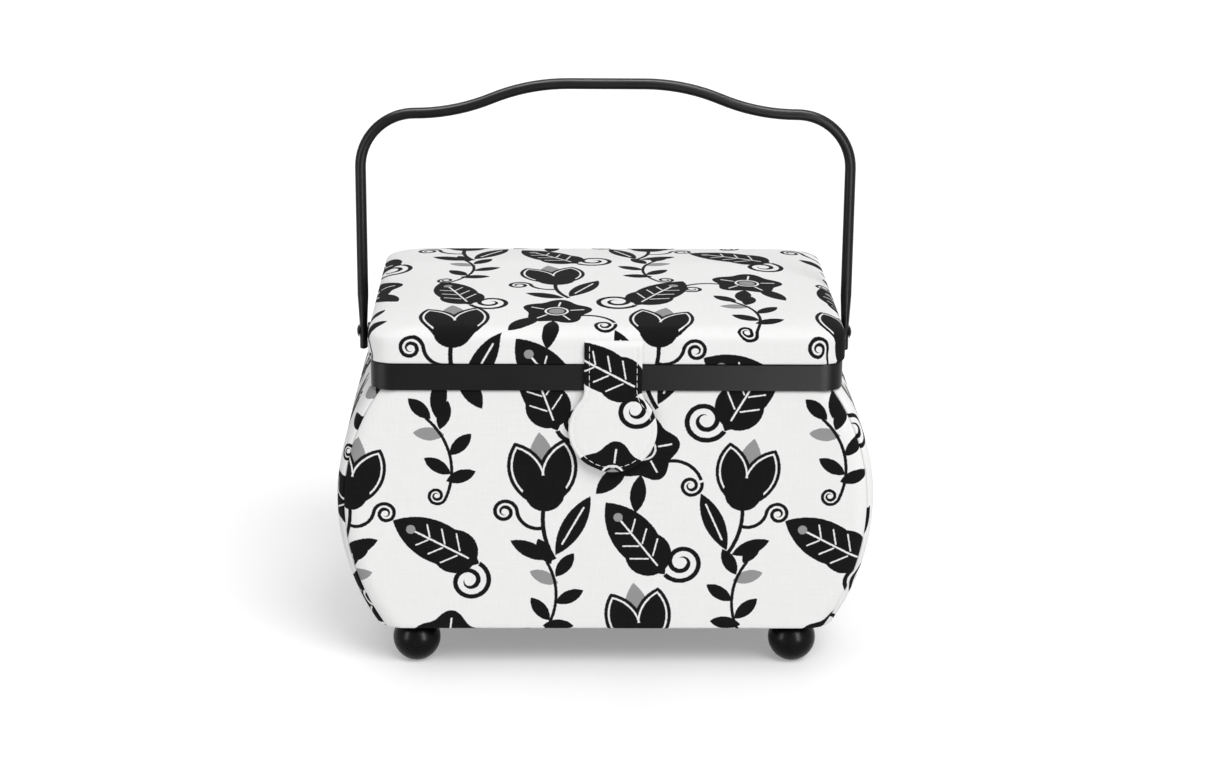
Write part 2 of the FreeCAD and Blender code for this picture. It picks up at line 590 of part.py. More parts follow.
def closing_tab():
    """Cloth tab: a root on the lid's front, a flap that folds at the lid's edge, and a press stud."""
    half = TAB_THICKNESS / 2
    y_axis = -(lid_face_y + REST_GAP + half)
    z_axis = z_lid + half
    z_root = z_axis + half + REST_GAP
    root = box(-TAB_NECK / 2, TAB_NECK / 2, y_axis - half, -lid_face_y, z_root, z_root + TAB_ROOT_HEIGHT)
    paddle, neck = TAB_PADDLE / 2, TAB_NECK / 2
    z_paddle = z_axis - TAB_DROP + paddle
    rise = math.sqrt((paddle + TAB_FLARE) ** 2 - (neck + TAB_FLARE) ** 2)
    hollow = Vec(neck + TAB_FLARE, 0, z_paddle + rise)
    touch = Vec(0, 0, z_paddle) + (hollow - Vec(0, 0, z_paddle)) * (paddle / (paddle + TAB_FLARE))
    inward = (touch - hollow).normalize() + Vec(-1, 0, 0)
    swing = hollow + inward.normalize() * TAB_FLARE
    start = Vec(neck, 0, hollow.z)

    def flip(p):
        return Vec(-p.x, p.y, p.z)

    top = Vec(neck, 0, z_axis)
    edges = [Part.LineSegment(flip(top), top).toShape(), Part.LineSegment(top, start).toShape(),
             Part.Arc(start, swing, touch).toShape(),
             Part.Arc(touch, Vec(0, 0, z_paddle - paddle), flip(touch)).toShape(),
             Part.Arc(flip(touch), flip(swing), flip(start)).toShape(),
             Part.LineSegment(flip(start), flip(top)).toShape()]
    face = Part.Face(Part.Wire(edges))
    face.translate(Vec(0, y_axis - half, 0))
    roll = rod(TAB_THICKNESS, Vec(-neck, y_axis, z_axis), TAB_NECK, Vec(1, 0, 0))
    flap = face.extrude(Vec(0, TAB_THICKNESS, 0)).fuse(roll).removeSplitter()
    z_stud = z_paddle - paddle + STUD_ABOVE_PADDLE_END
    inner_y = y_axis + half
    centre = Vec(0, -body_y, z_stud)
    gap = -body_y - inner_y
    knob_length = gap - REST_GAP
    stud = rod(STUD_DIAMETER, centre, STUD_BASE, Vec(0, -1, 0))
    stud = stud.fuse(rod(STUD_KNOB, centre, knob_length, Vec(0, -1, 0))).removeSplitter()
    socket_depth = gap - STUD_BASE - REST_GAP
    socket = rod(STUD_DIAMETER, Vec(0, inner_y, z_stud), socket_depth, Vec(0, 1, 0))
    socket = socket.cut(rod(STUD_KNOB + 2 * KNOB_GAP, Vec(0, inner_y, z_stud), socket_depth, Vec(0, 1, 0)))
    nodes = {"tab_root": root, "tab_flap": flap, "snap_stud": stud, "snap_socket": socket}
    for shape in nodes.values():
        shape.translate(Vec(TAB_OFFSET, 0, 0))
    return nodes


def main():
    """Build every piece and write each to its own file."""
    os.makedirs("parts", exist_ok=True)
    groups = (body_panels, body_covers, body_lining, rim, feet, tray,
              lid, hinges, handle, pivots, closing_tab)
    for group in groups:
        for name, shape in group().items():
            shape.exportStep("parts/" + name + ".step")
            print(name, len(shape.Solids), "solids", round(shape.Volume, 1), "mm3", shape.isValid())


main()
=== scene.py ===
"""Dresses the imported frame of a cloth-covered sewing box: printed cloth, padding, lining, stitching,
finishes for the rigid pieces, and a plain stage. Lengths are metres; the print is drawn in millimetres."""

import json
import math

import bmesh
import bpy
from bpy.props import FloatProperty, FloatVectorProperty, IntProperty, PointerProperty
from mathutils import Euler, Matrix, Vector, noise


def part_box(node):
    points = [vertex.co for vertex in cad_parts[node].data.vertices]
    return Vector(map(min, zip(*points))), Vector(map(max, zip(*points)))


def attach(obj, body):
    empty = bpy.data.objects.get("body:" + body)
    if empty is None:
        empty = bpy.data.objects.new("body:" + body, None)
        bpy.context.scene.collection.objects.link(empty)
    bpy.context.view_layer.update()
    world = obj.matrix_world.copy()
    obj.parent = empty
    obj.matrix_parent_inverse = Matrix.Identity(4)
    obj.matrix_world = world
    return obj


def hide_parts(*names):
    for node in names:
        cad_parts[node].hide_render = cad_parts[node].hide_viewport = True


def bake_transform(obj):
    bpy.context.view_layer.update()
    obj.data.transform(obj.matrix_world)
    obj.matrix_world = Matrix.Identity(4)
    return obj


bl_info = {
    "name": "Sewing Box",
    "version": (1, 0, 0),
    "blender": (4, 5, 0),
    "location": "View3D > Sidebar > Sewing Box",
    "description": "Cloth, padding, stitching and finishes for a sewing box",
    "category": "Object",
}

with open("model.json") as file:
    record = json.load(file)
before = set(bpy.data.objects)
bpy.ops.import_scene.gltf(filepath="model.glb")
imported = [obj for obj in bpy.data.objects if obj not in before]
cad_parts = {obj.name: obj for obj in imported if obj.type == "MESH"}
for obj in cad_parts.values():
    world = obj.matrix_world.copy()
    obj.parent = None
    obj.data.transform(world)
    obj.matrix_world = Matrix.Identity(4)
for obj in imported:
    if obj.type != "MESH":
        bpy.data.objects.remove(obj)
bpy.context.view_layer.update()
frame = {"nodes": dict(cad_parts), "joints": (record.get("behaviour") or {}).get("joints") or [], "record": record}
COVER_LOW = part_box("front_cover")[0]
BAND_LOW, BAND_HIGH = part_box("rim_band")
LID_LOW, LID_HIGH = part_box("lid_cover")
TAB_JOINT = next(joint for joint in frame["joints"] if joint["name"] == "tab_fold")


# Settings that a user would change


def length(name, description, default):
    return FloatProperty(name=name, description=description, default=default, unit="LENGTH", precision=5)


def number(name, description, default):
    return FloatProperty(name=name, description=description, default=default)


def colour(name, description, default):
    return FloatVectorProperty(name=name, description=description, default=default, size=4, subtype="COLOR",
                               min=0.0, max=1.0)


def angle(name, description, degrees):
    return FloatProperty(name=name, description=description, default=math.radians(degrees), subtype="ANGLE")


class BodySettings(bpy.types.PropertyGroup):
    """Shape of the covered body, as the frame has it, and how its cloth lies."""
    belly_height: length("Belly height", "From the body's base to its widest place", 0.067)
    base_length: length("Base length", "Length of the body at its base", 0.2385)
    band_proud: length("Band proud", "How far the rim band stands out from the cloth", 0.001)
    corner_radius: length("Corner radius", "Rounding of the upright corners", 0.012)
    seam_depth: length("Seam depth", "How far the cloth sinks into the corner seams", 0.0009)
    cloth_thickness: length("Cloth thickness", "Thickness of the printed cloth", 0.0007)
    turn_under: length("Turn under", "Width of the cloth folded under the base", 0.0044)
    slack: length("Slack", "Height of the faint waves in the stretched cloth", 0.00025)


class LidSettings(bpy.types.PropertyGroup):
    """Padding of the lid, outside and inside."""
    corner_radius: length("Corner radius", "Rounding of the lid's upright corners", 0.0132)
    wall: length("Wall", "Height of the lid's upright wall", 0.0117)
    roll: length("Roll", "Width over which the pad rises", 0.021)
    fullness: number("Fullness", "How square the rolled edge is: 2 is an ellipse", 2.5)
    pad_corner: length("Pad corner", "Rounding of the pad's corners at its top", 0.026)
    stuffing: number("Stuffing", "Pressure that swells the padded pieces", 4.0)
    crease_depth: length("Crease depth", "How deep the corner creases are", 0.0006)
    pucker: length("Pucker", "Height of the small gathers along the lid's edge", 0.0004)
    gathers: IntProperty(name="Gathers", description="Folds across the inner pocket", default=23)
    gather_depth: length("Gather depth", "Height of the pocket's folds below its elastic", 0.0018)
    elastic: length("Elastic", "From the pocket's mouth to the middle of its elastic", 0.009)


class TabSettings(bpy.types.PropertyGroup):
    """The closing tab and its top stitching."""
    neck: length("Neck", "Width at the lid", 0.0294)
    paddle: length("Paddle", "Diameter of the round end", 0.0452)
    flare: length("Flare", "Radius of the curve from the neck to the paddle", 0.0095)
    drop: length("Drop", "From the fold to the paddle's end", 0.058)
    thickness: length("Thickness", "Thickness of the two layers and their stiffening", 0.002)
    stitch_inset: length("Stitch inset", "From the edge to the stitches", 0.0026)
    stitch_length: length("Stitch length", "Length of one stitch", 0.0030)
    stitch_gap: length("Stitch gap", "From one stitch to the next", 0.0008)
    thread: length("Thread", "Thickness of the thread", 0.00042)


class PrintSettings(bpy.types.PropertyGroup):
    """Colours and scale of the printed cotton."""
    tile_width: number("Repeat width", "Width of the print's repeat, in millimetres", 176.0)
    tile_height: number("Repeat height", "Height of the print's repeat, in millimetres", 140.0)
    enlarged: number("Enlarged", "How much larger the print is than it is drawn", 1.15)
    ground: colour("Ground", "Bleached cotton", (0.87, 0.87, 0.865, 1.0))
    ink: colour("Ink", "Black of the print", (0.0058, 0.0058, 0.006, 1.0))
    accent: colour("Accent", "Grey of the print", (0.30, 0.30, 0.305, 1.0))
    thread_pitch: number("Thread pitch", "Distance between threads, in millimetres", 0.62)


class StageSettings(bpy.types.PropertyGroup):
    """Camera, light and floor."""
    focal_length: number("Focal length", "Camera lens, in millimetres", 79.34)
    camera_place: FloatVectorProperty(name="Camera place", description="Where the camera stands",
                                      default=(-0.02404, -1.37654, 0.55252), subtype="TRANSLATION", unit="LENGTH")
    camera_tilt: angle("Camera tilt", "How far the camera looks down", 16.93)
    camera_turn: angle("Camera turn", "How far the camera looks to its right", 0.985)
    camera_lean: angle("Camera lean", "How far the camera leans to its left", 0.43)
    key_strength: number("Key strength", "Strength of the key light", 1.72)
    key_size: angle("Key size", "Apparent size of the key light, for soft shadows", 32.0)
    sky_strength: number("Sky strength", "Strength of the light from all sides", 0.635)
    card_strength: number("Card strength", "Strength of the cards that show in glossy pieces", 6.1)
    floor_colour: colour("Floor", "Pale floor", (0.80, 0.80, 0.80, 1.0))


class SewingBoxSettings(bpy.types.PropertyGroup):
    """All settings of the sewing box."""
    body: PointerProperty(type=BodySettings)
    lid: PointerProperty(type=LidSettings)
    tab: PointerProperty(type=TabSettings)
    print: PointerProperty(type=PrintSettings)
    stage: PointerProperty(type=StageSettings)


# Node trees


class Wire:
    """A node's output in an expression: each operation on it adds a Math node."""

    def __init__(self, tree, socket):
        self.tree, self.socket = tree, socket

    def __add__(self, other):
        return self.tree.maths("ADD", self, other)

    def __radd__(self, other):
        return self.tree.maths("ADD", other, self)

    def __sub__(self, other):
        return self.tree.maths("SUBTRACT", self, other)

    def __rsub__(self, other):
        return self.tree.maths("SUBTRACT", other, self)

    def __mul__(self, other):
        return self.tree.maths("MULTIPLY", self, other)

    def __truediv__(self, other):
        return self.tree.maths("DIVIDE", self, other)

    def __neg__(self):
        return self.tree.maths("MULTIPLY", self, -1.0)

    def __abs__(self):
        return self.tree.maths("ABSOLUTE", self)


class Tree:
    """A node tree that is written as expressions."""

    def __init__(self, nodes_owner):
        self.tree = nodes_owner

    def node(self, kind, settings=None, inputs=None, out=0):
        """Add a node, set it up, fill or link its sockets, and return one of its outputs."""
        node = self.tree.nodes.new(kind)
        for key, value in (settings or {}).items():
            setattr(node, key, value)
        for key, value in (inputs or {}).items():
            if isinstance(value, Wire):
                self.tree.links.new(value.socket, node.inputs[key])
            else:
                node.inputs[key].default_value = value
        return Wire(self, node.outputs[out]) if node.outputs else None

    def maths(self, operation, *values, clamp=False):
        return self.node("ShaderNodeMath", {"operation": operation, "use_clamp": clamp}, dict(enumerate(values)))

    def vector(self, operation, *values, out=0):
        return self.node("ShaderNodeVectorMath", {"operation": operation}, dict(enumerate(values)), out)

    def split(self, vector):
        """The X and the Y of a vector."""
        parts = self.node("ShaderNodeSeparateXYZ", {}, {0: vector}).socket.node.outputs
        return Wire(self, parts[0]), Wire(self, parts[1])

    def rays(self, *names):
        """1 for rays of any of these kinds, and 0 for others."""
        kinds = self.node("ShaderNodeLightPath").socket.node.outputs
        return self.most(*[Wire(self, kinds[name]) for name in names])

    def least(self, first, *others):
        for other in others:
            first = self.maths("MINIMUM", first, other)
        return first

    def most(self, first, *others):
        for other in others:
            first = self.maths("MAXIMUM", first, other)
        return first

    def mix(self, factor, first, second):
        """Colour between two others."""
        settings = {"data_type": "RGBA", "clamp_factor": True}
        return self.node("ShaderNodeMix", settings, {0: factor, 6: first, 7: second}, out=2)

    def grain(self, vector, scale, detail=2.0, roughness=0.5):
        """Noise between 0 and 1."""
        return self.node("ShaderNodeTexNoise", {}, {"Vector": vector, "Scale": scale, "Detail": detail,
                                                    "Roughness": roughness})

    def bump(self, height, strength, distance):
        return self.node("ShaderNodeBump", {}, {"Height": height, "Strength": strength, "Distance": distance})

    def place(self, vector, x=0.0, y=0.0, turn=0.0, scale=(1.0, 1.0, 1.0)):
        """The vector seen from a place on the cloth, turned by an angle in degrees."""
        return self.node("ShaderNodeMapping", {"vector_type": "TEXTURE"},
                         {"Vector": vector, "Location": (x, y, 0.0), "Rotation": (0.0, 0.0, math.radians(turn)),
                          "Scale": scale})


class Finish(Tree):
    """A material whose surface is one Principled shader."""

    def __init__(self, name):
        self.material = bpy.data.materials.new(name)
        self.material.use_nodes = True
        super().__init__(self.material.node_tree)
        self.tree.nodes.clear()

    def object_place(self):
        return self.node("ShaderNodeTexCoord", out=3)

    def cloth_place(self):
        """Place on the piece's own UV map, in millimetres."""
        uv = self.node("ShaderNodeUVMap", {"uv_map": "UVMap"})
        return self.node("ShaderNodeVectorMath", {"operation": "SCALE"}, {0: uv, "Scale": 1000.0})

    def surface(self, **inputs):
        named = {key.replace("_", " ").title().replace("Ior", "IOR"): value for key, value in inputs.items()}
        shader = self.node("ShaderNodeBsdfPrincipled", {}, named)
        self.node("ShaderNodeOutputMaterial", {"target": "ALL"}, {"Surface": shader})
        return self.material


def opaque(shade, factor=1.0):
    """Colour with full alpha, made lighter or darker by a factor."""
    return tuple(factor * value for value in shade[:3]) + (1.0,)


# The print: sprigs, blooms, sprays and drop-shaped leaves, drawn as distances in millimetres


class Print(Finish):
    """Cotton with a printed design; a negative distance is inside a shape."""

    def disc(self, p, x, y, radius):
        return self.vector("DISTANCE", p, (x, y, 0.0), out=1) - radius

    def petal(self, p, x, y, size, width, turn):
        """Pointed oval, long along Y before it is turned."""
        radius = (size ** 2 + width ** 2) / (4 * width)
        folded = self.vector("ABSOLUTE", self.place(p, x, y, turn))
        return self.disc(folded, width / 2 - radius, 0.0, radius)

    def hoop(self, p, x, y, radius, half_width, middle, half_angle):
        """Part of a ring, to each side of a middle direction."""
        local = self.place(p, x, y, middle)
        outward, across = self.split(local)
        ring = abs(self.vector("LENGTH", local, out=1) - radius) - half_width
        cut = abs(across) * math.cos(math.radians(half_angle)) - outward * math.sin(math.radians(half_angle))
        return self.most(ring, cut)

    def curl(self, p, x, y, radius, turns, half_width, outer, way):
        """Spiral whose outer end lies in one direction; way is the sense in which it widens."""
        local = self.place(p, x, y, outer)
        across, up = self.split(local)
        reach = self.vector("LENGTH", local, out=1)
        pitch = radius / turns
        bearing = self.maths("ARCTAN2", up, across) * (way / math.tau)
        lap = reach / pitch - bearing
        line = self.maths("PINGPONG", lap, 0.5) * pitch - half_width
        beyond = (self.maths("ROUND", lap) + bearing - turns) * (math.tau * radius)
        return self.most(line, beyond, pitch / 2 - reach)

    def stroke(self, p, x, y, size, half_width, turn):
        """Thin straight line with round ends."""
        folded = self.vector("ABSOLUTE", self.place(p, x, y, turn))
        beyond = self.vector("MAXIMUM", self.vector("SUBTRACT", folded, (0.0, size / 2, 0.0)), (0.0, 0.0, 0.0))
        return self.vector("LENGTH", beyond, out=1) - half_width

    def nearest(self, p, repeat, spots):
        """The vector seen from the nearest of several places, each (x, y, turn, flip, size)."""
        half = (repeat[0] / 2, repeat[1] / 2, 1.0)
        best = reach = None
        for x, y, turn, flip, size in spots:
            away = self.vector("SUBTRACT", p, (x, y, 0.0))
            away = self.vector("WRAP", away, half, tuple(-value for value in half))
            local = self.place(away, turn=turn, scale=(flip * size, size, 1.0))
            distance = self.vector("LENGTH", away, out=1)
            if best is None:
                best, reach = local, distance
            else:
                closer = self.maths("LESS_THAN", distance, reach)
                best = self.node("ShaderNodeMix", {"data_type": "VECTOR"}, {0: closer, 4: best, 5: local}, out=1)
                reach = self.least(reach, distance)
        return best

    def sprig(self, p):
        """A cup-shaped bloom on a bent stem, with leaves and a tendril."""
        left, right = self.petal(p, -6.4, 12.0, 31.0, 16.5, 17.0), self.petal(p, 6.4, 12.0, 31.0, 16.5, -17.0)
        cup = self.disc(p, 0.0, 3.2, 8.6)
        stem = self.hoop(p, 34.0, -12.0, 36.0, 0.95, 180.0, 26.0)
        leaves = self.least(self.petal(p, 10.8, -13.0, 31.0, 9.5, -34.0),
                            self.petal(p, -8.6, -22.5, 19.0, 7.0, 58.0))
        tendril = self.least(self.curl(p, -18.0, -4.0, 5.4, 2, 0.85, 0.0, -1),
                             self.hoop(p, -3.6, -4.0, 9.0, 0.85, 228.0, 50.0))
        ink = self.least(left, right, cup, stem, leaves, tendril)
        lines = self.least(abs(left + 2.0) - 0.42, abs(right + 2.0) - 0.42)
        lines = self.least(self.most(lines, -self.disc(p, 0.0, 1.0, 10.0)),
                           self.stroke(p, 10.8, -13.0, 19.0, 0.4, -34.0))
        return {"under": self.petal(p, 0.0, 15.0, 31.0, 12.0, 0.0), "ink": ink, "lines": lines}

    def bloom(self, p):
        """An open flower seen from above, with two leaves and a tendril."""
        reach = self.vector("LENGTH", p, out=1)
        across, up = self.split(p)
        bearing = self.maths("ARCTAN2", up, across)
        flower = reach - 15.2 - self.maths("COSINE", bearing * 5.0) * 1.7
        leaves = self.least(self.petal(p, -17.5, -12.2, 21.0, 8.5, -55.0),
                            self.petal(p, -6.5, -21.5, 19.0, 7.5, -17.0))
        tendril = self.least(self.hoop(p, 10.0, -22.0, 14.0, 0.85, 52.0, 43.0),
                             self.curl(p, 18.6, -21.8, 5.4, 2, 0.85, 8.0, 1))
        parting = abs(self.maths("SINE", bearing * 2.5)) * reach * 0.4 - 0.42
        parting = self.most(parting, abs(reach - 9.9) - 3.3)
        return {"ink": self.least(flower, leaves, tendril),
                "lines": self.least(parting, abs(reach - 5.2) - 0.5), "over": reach - 3.7}

    def spray(self, p):
        """A bent stem with leaves to both sides and a curled end."""
        stem = self.hoop(p, 38.0, 0.0, 40.0, 0.9, 180.0, 38.0)
        ink = self.least(stem, self.curl(p, 10.4, -21.2, 5.2, 2, 0.9, 218.0, -1))
        accents = None
        for step, bend in enumerate((-30.0, -16.0, -2.0, 12.0, 25.0)):
            x, y = 38.0 - 40.0 * math.cos(math.radians(bend)), -40.0 * math.sin(math.radians(bend))
            side = 1 if step % 2 else -1
            leaf = self.petal(p, x + side * 7.2, y + 4.2, 17.5, 7.6, -side * 58.0 + bend)
            if step == 1:
                accents = leaf
            else:
                ink = self.least(ink, leaf)
        tip = self.petal(p, 8.6, 30.6, 17.0, 7.8, -34.0)
        return {"under": accents, "ink": self.least(ink, tip)}

    def drop_leaf(self, p):
        """A broad drop-shaped leaf with veins and a curled stalk."""
        across, up = self.split(p)
        folded = self.node("ShaderNodeCombineXYZ", {}, {0: abs(across), 1: up})
        ink = self.least(self.petal(p, 0.0, 6.0, 46.0, 20.5, 0.0), self.disc(p, 0.0, -4.0, 11.0),
                         self.curl(p, 10.0, -17.0, 10.0, 2, 1.15, 180.0, -1))
        lines = self.stroke(p, 0.0, 4.0, 30.0, 0.45, 0.0)
        for y in (-6.0, 1.5, 9.0):
            lines = self.least(lines, self.stroke(folded, 4.2 - 0.1 * y, y + 2.8, 7.6 - 0.15 * y, 0.35, -52.0))
        return {"ink": ink, "lines": lines, "over": self.disc(p, 0.0, 19.5, 2.2)}

    def design(self, p, repeat):
        """Layers of the whole repeat: grey below the ink, ink, ground-coloured lines, grey on top."""
        motifs = [
            self.sprig(self.nearest(p, repeat, ((22, 23, 8, 1, 1.0), (66, 93, -10, -1, 0.96),
                                                (154, 93, 5, 1, 1.04)))),
            self.bloom(self.nearest(p, repeat, ((22, 117, 10, 1, 0.95), (110, 23, -25, -1, 1.0)))),
            self.spray(self.nearest(p, repeat, ((64, 44, 0, 1, 0.80), (110, 113, 12, -1, 0.80),
                                                (157, 43, -8, -1, 0.80)))),
            self.drop_leaf(self.nearest(p, repeat, ((22, 70, 38, 1, 0.95), (66, 0, -30, -1, 1.0),
                                                    (110, 70, 62, -1, 0.95), (154, 0, 20, 1, 0.92)))),
        ]
        return {layer: self.least(*[motif[layer] for motif in motifs if layer in motif])
                for layer in ("under", "ink", "lines", "over")}

    def printed(self, distance, edge=0.28):
        """How much of a layer is printed, from 0 to 1."""
        return self.maths("MULTIPLY_ADD", distance, -1 / edge, 0.5, clamp=True)


def weave(finish, p, pitch):
    """Height of a plain weave, from 0 to 1."""
    warp, weft = (finish.maths("SINE", way * (math.pi / pitch)) for way in finish.split(p))
    over = finish.maths("GREATER_THAN", warp * weft, 0.0)
    return abs(warp) * over + abs(weft) * (1 - over)


def slubs(finish, p):
    """Uneven threads both ways, about 0.5 on average."""
    warp = finish.grain(finish.place(p, scale=(0.55, 14.0, 1.0)), 1.0, 2.0)
    weft = finish.grain(finish.place(p, x=37.0, scale=(14.0, 0.55, 1.0)), 1.0, 2.0)
    return (warp + weft) * 0.5


def printed_cotton(settings):
    """White cotton with the printed design, on the pieces' own UV map in metres."""
    finish = Print("printed_cotton")
    p = finish.cloth_place()
    wobble = finish.node("ShaderNodeTexNoise", {}, {"Vector": p, "Scale": 0.9, "Detail": 1.0}, out=1)
    wobble = finish.vector("SUBTRACT", wobble, (0.5, 0.5, 0.5))
    drawn = finish.vector("MULTIPLY_ADD", wobble, (0.5, 0.5, 0.0), p)
    drawn = finish.place(drawn, scale=(settings.enlarged, settings.enlarged, 1.0))
    layers = finish.design(drawn, (settings.tile_width, settings.tile_height))
    threads = slubs(finish, p)
    ground = finish.mix((threads - 0.5) * 2.0 + 0.6, opaque(settings.ground, 0.925), settings.ground)
    black = finish.mix((threads - 0.5) * 2.0 + 0.4, settings.ink, opaque(settings.ink, 1.9))
    colour_now = finish.mix(finish.printed(layers["under"]), ground, settings.accent)
    colour_now = finish.mix(finish.printed(layers["ink"]), colour_now, black)
    colour_now = finish.mix(finish.printed(layers["lines"]), colour_now, ground)
    colour_now = finish.mix(finish.printed(layers["over"]), colour_now, settings.accent)
    height = weave(finish, p, settings.thread_pitch) * 0.6 + threads * 0.8
    return finish.surface(base_color=colour_now, roughness=0.86, normal=finish.bump(height, 0.42, 0.0002),
                          specular_ior_level=0.06, sheen_weight=0.02, sheen_roughness=0.5)


def plain_cotton(name, shade, pitch=0.7, sheen=0.15):
    """Dyed cotton with a plain weave, on the piece's own UV map."""
    finish = Finish(name)
    p = finish.cloth_place()
    threads = slubs(finish, p)
    base = finish.mix((threads - 0.5) * 2.2 + 0.5, opaque(shade, 0.82), opaque(shade))
    height = weave(finish, p, pitch) * 0.7 + threads * 0.8
    return finish.surface(base_color=base, roughness=0.88, normal=finish.bump(height, 0.4, 0.0002),
                          specular_ior_level=0.1, sheen_weight=sheen, sheen_roughness=0.5)


def moulded_plastic(name, shade, roughness, specular):
    """Moulded plastic with a faint drawn grain along its length."""
    finish = Finish(name)
    place = finish.object_place()
    drawn = finish.grain(finish.place(place, scale=(0.03, 0.03, 0.0006)), 1.0, 3.0)
    cloud = finish.grain(place, 60.0, 3.0)
    base = finish.mix(cloud * 0.7, opaque(shade), opaque(shade, 1.5))
    gloss = roughness + (cloud - 0.5) * 0.10 + (drawn - 0.5) * 0.10
    return finish.surface(base_color=base, roughness=gloss, specular_ior_level=specular,
                          normal=finish.bump(drawn + finish.grain(place, 1800.0) * 0.5, 0.08, 0.0002))


def glossy_lacquer():
    """Black lacquer on turned wood."""
    finish = Finish("black_lacquer")
    place = finish.object_place()
    dust = finish.grain(place, 420.0, 4.0)
    flow = finish.grain(place, 90.0, 2.0)
    base = finish.mix(finish.maths("MULTIPLY_ADD", dust, 3.0, -1.7, clamp=True) * 0.35, (0.002, 0.002, 0.002, 1.0),
                      (0.010, 0.010, 0.010, 1.0))
    return finish.surface(base_color=base, roughness=0.28 + (dust - 0.5) * 0.12, specular_ior_level=0.09,
                          normal=finish.bump(flow, 0.06, 0.0004))


def satin_enamel():
    """Satin black enamel on steel wire, with a fine orange peel."""
    finish = Finish("black_enamel")
    place = finish.object_place()
    peel = finish.grain(place, 900.0, 2.0)
    cloud = finish.grain(place, 45.0, 3.0)
    base = finish.mix(cloud, (0.004, 0.004, 0.004, 1.0), (0.009, 0.009, 0.009, 1.0))
    return finish.surface(base_color=base, roughness=0.34 + (cloud - 0.5) * 0.14, specular_ior_level=0.105,
                          normal=finish.bump(peel, 0.10, 0.0002))


def nickel_steel():
    """Nickel-plated steel with fine scratches."""
    finish = Finish("nickel_steel")
    place = finish.object_place()
    scratches = finish.grain(finish.place(place, scale=(0.0004, 0.004, 0.004)), 1.0, 3.0)
    base = finish.mix(scratches, (0.36, 0.355, 0.34, 1.0), (0.50, 0.495, 0.475, 1.0))
    return finish.surface(base_color=base, metallic=1.0, roughness=0.26 + (scratches - 0.5) * 0.2,
                          normal=finish.bump(scratches, 0.08, 0.0001))


def fibre_board():
    """Pressed fibre board."""
    finish = Finish("fibre_board")
    place = finish.object_place()
    fibres = finish.grain(finish.place(place, scale=(0.002, 0.0007, 0.002)), 1.0, 4.0)
    base = finish.mix(fibres, (0.30, 0.19, 0.10, 1.0), (0.56, 0.41, 0.26, 1.0))
    return finish.surface(base_color=base, roughness=0.8, normal=finish.bump(fibres, 0.2, 0.0003))


def planed_softwood():
    """Pale softwood with its grain along the rails."""
    finish = Finish("planed_softwood")
    place = finish.object_place()
    rings = finish.grain(finish.place(place, scale=(0.12, 0.004, 0.004)), 1.0, 4.0, 0.65)
    base = finish.mix(rings, (0.42, 0.25, 0.11, 1.0), (0.70, 0.50, 0.28, 1.0))
    return finish.surface(base_color=base, roughness=0.55 + (rings - 0.5) * 0.2,
                          normal=finish.bump(rings, 0.15, 0.0003))


def sewing_thread():
    """White twisted thread."""
    finish = Finish("sewing_thread")
    twist = finish.grain(finish.place(finish.object_place(), turn=35.0, scale=(0.0002, 0.002, 0.0002)), 1.0, 1.0)
    base = finish.mix(twist, (0.66, 0.66, 0.65, 1.0), (0.88, 0.88, 0.87, 1.0))
    return finish.surface(base_color=base, roughness=0.7, normal=finish.bump(twist, 0.3, 0.0001))


# Mesh pieces


def make_piece(name, points, faces, uvs, material):
    """A smooth mesh at the origin, with one UV for each point."""
    mesh = bpy.data.meshes.new(name)
    mesh.from_pydata(points, [], faces)
    layer = mesh.uv_layers.new(name="UVMap")
    for loop in mesh.loops:
        layer.data[loop.index].uv = uvs[loop.vertex_index]
    mesh.polygons.foreach_set("use_smooth", [True] * len(mesh.polygons))
    mesh.materials.append(material)
    mesh.update()
    piece = bpy.data.objects.new(name, mesh)
    bpy.context.scene.collection.objects.link(piece)
    return piece


def round_off(piece, close=True):
    """Subdivide a piece whose cloth was simulated on a coarser grid, and close its open side."""
    finer = piece.modifiers.new("Smooth cloth", "SUBSURF")
    finer.levels = finer.render_levels = 1
    finer.use_limit_surface = False
    mesh = bpy.data.meshes.new_from_object(piece.evaluated_get(bpy.context.evaluated_depsgraph_get()))
    piece.modifiers.remove(finer)
    if close:
        form = bmesh.new()
        form.from_mesh(mesh)
        bmesh.ops.holes_fill(form, edges=[edge for edge in form.edges if edge.is_boundary])
        form.to_mesh(mesh)
        form.free()
    piece.data = mesh
    return piece


def thicken(piece, thickness):
    """Give a sheet its thickness, away from the side that shows."""
    solid = piece.modifiers.new("Cloth thickness", "SOLIDIFY")
    solid.thickness = thickness
    solid.offset = -1.0
    return piece


def grid_faces(columns, rows, flip=False, closed=False):
    """Quads of a grid of points, row by row; a closed grid joins its last column to its first."""
    faces = []
    for j in range(rows - 1):
        for i in range(columns if closed else columns - 1):
            right = (i + 1) % columns
            quad = (j * columns + i, j * columns + right, (j + 1) * columns + right, (j + 1) * columns + i)
            faces.append(quad[::-1] if flip else quad)
    return faces


def sheet_area(piece):
    return sum(polygon.area for polygon in piece.data.polygons)


def declare_sheet(piece, width, height, rests_on):
    """Work out how tall the sheet was cut, going by the surface that it covers; the figure is not kept."""
    area = sheet_area(piece)
    max(height, area / width)


def smooth_step(value):
    value = min(1.0, max(0.0, value))
    return value * value * (3 - 2 * value)


def wave(x, y, z, size, seed):
    """Gentle unevenness between -1 and 1."""
    return noise.noise(Vector((x, y, z)) / size + Vector((seed, 2.7 * seed, 5.1 * seed)))


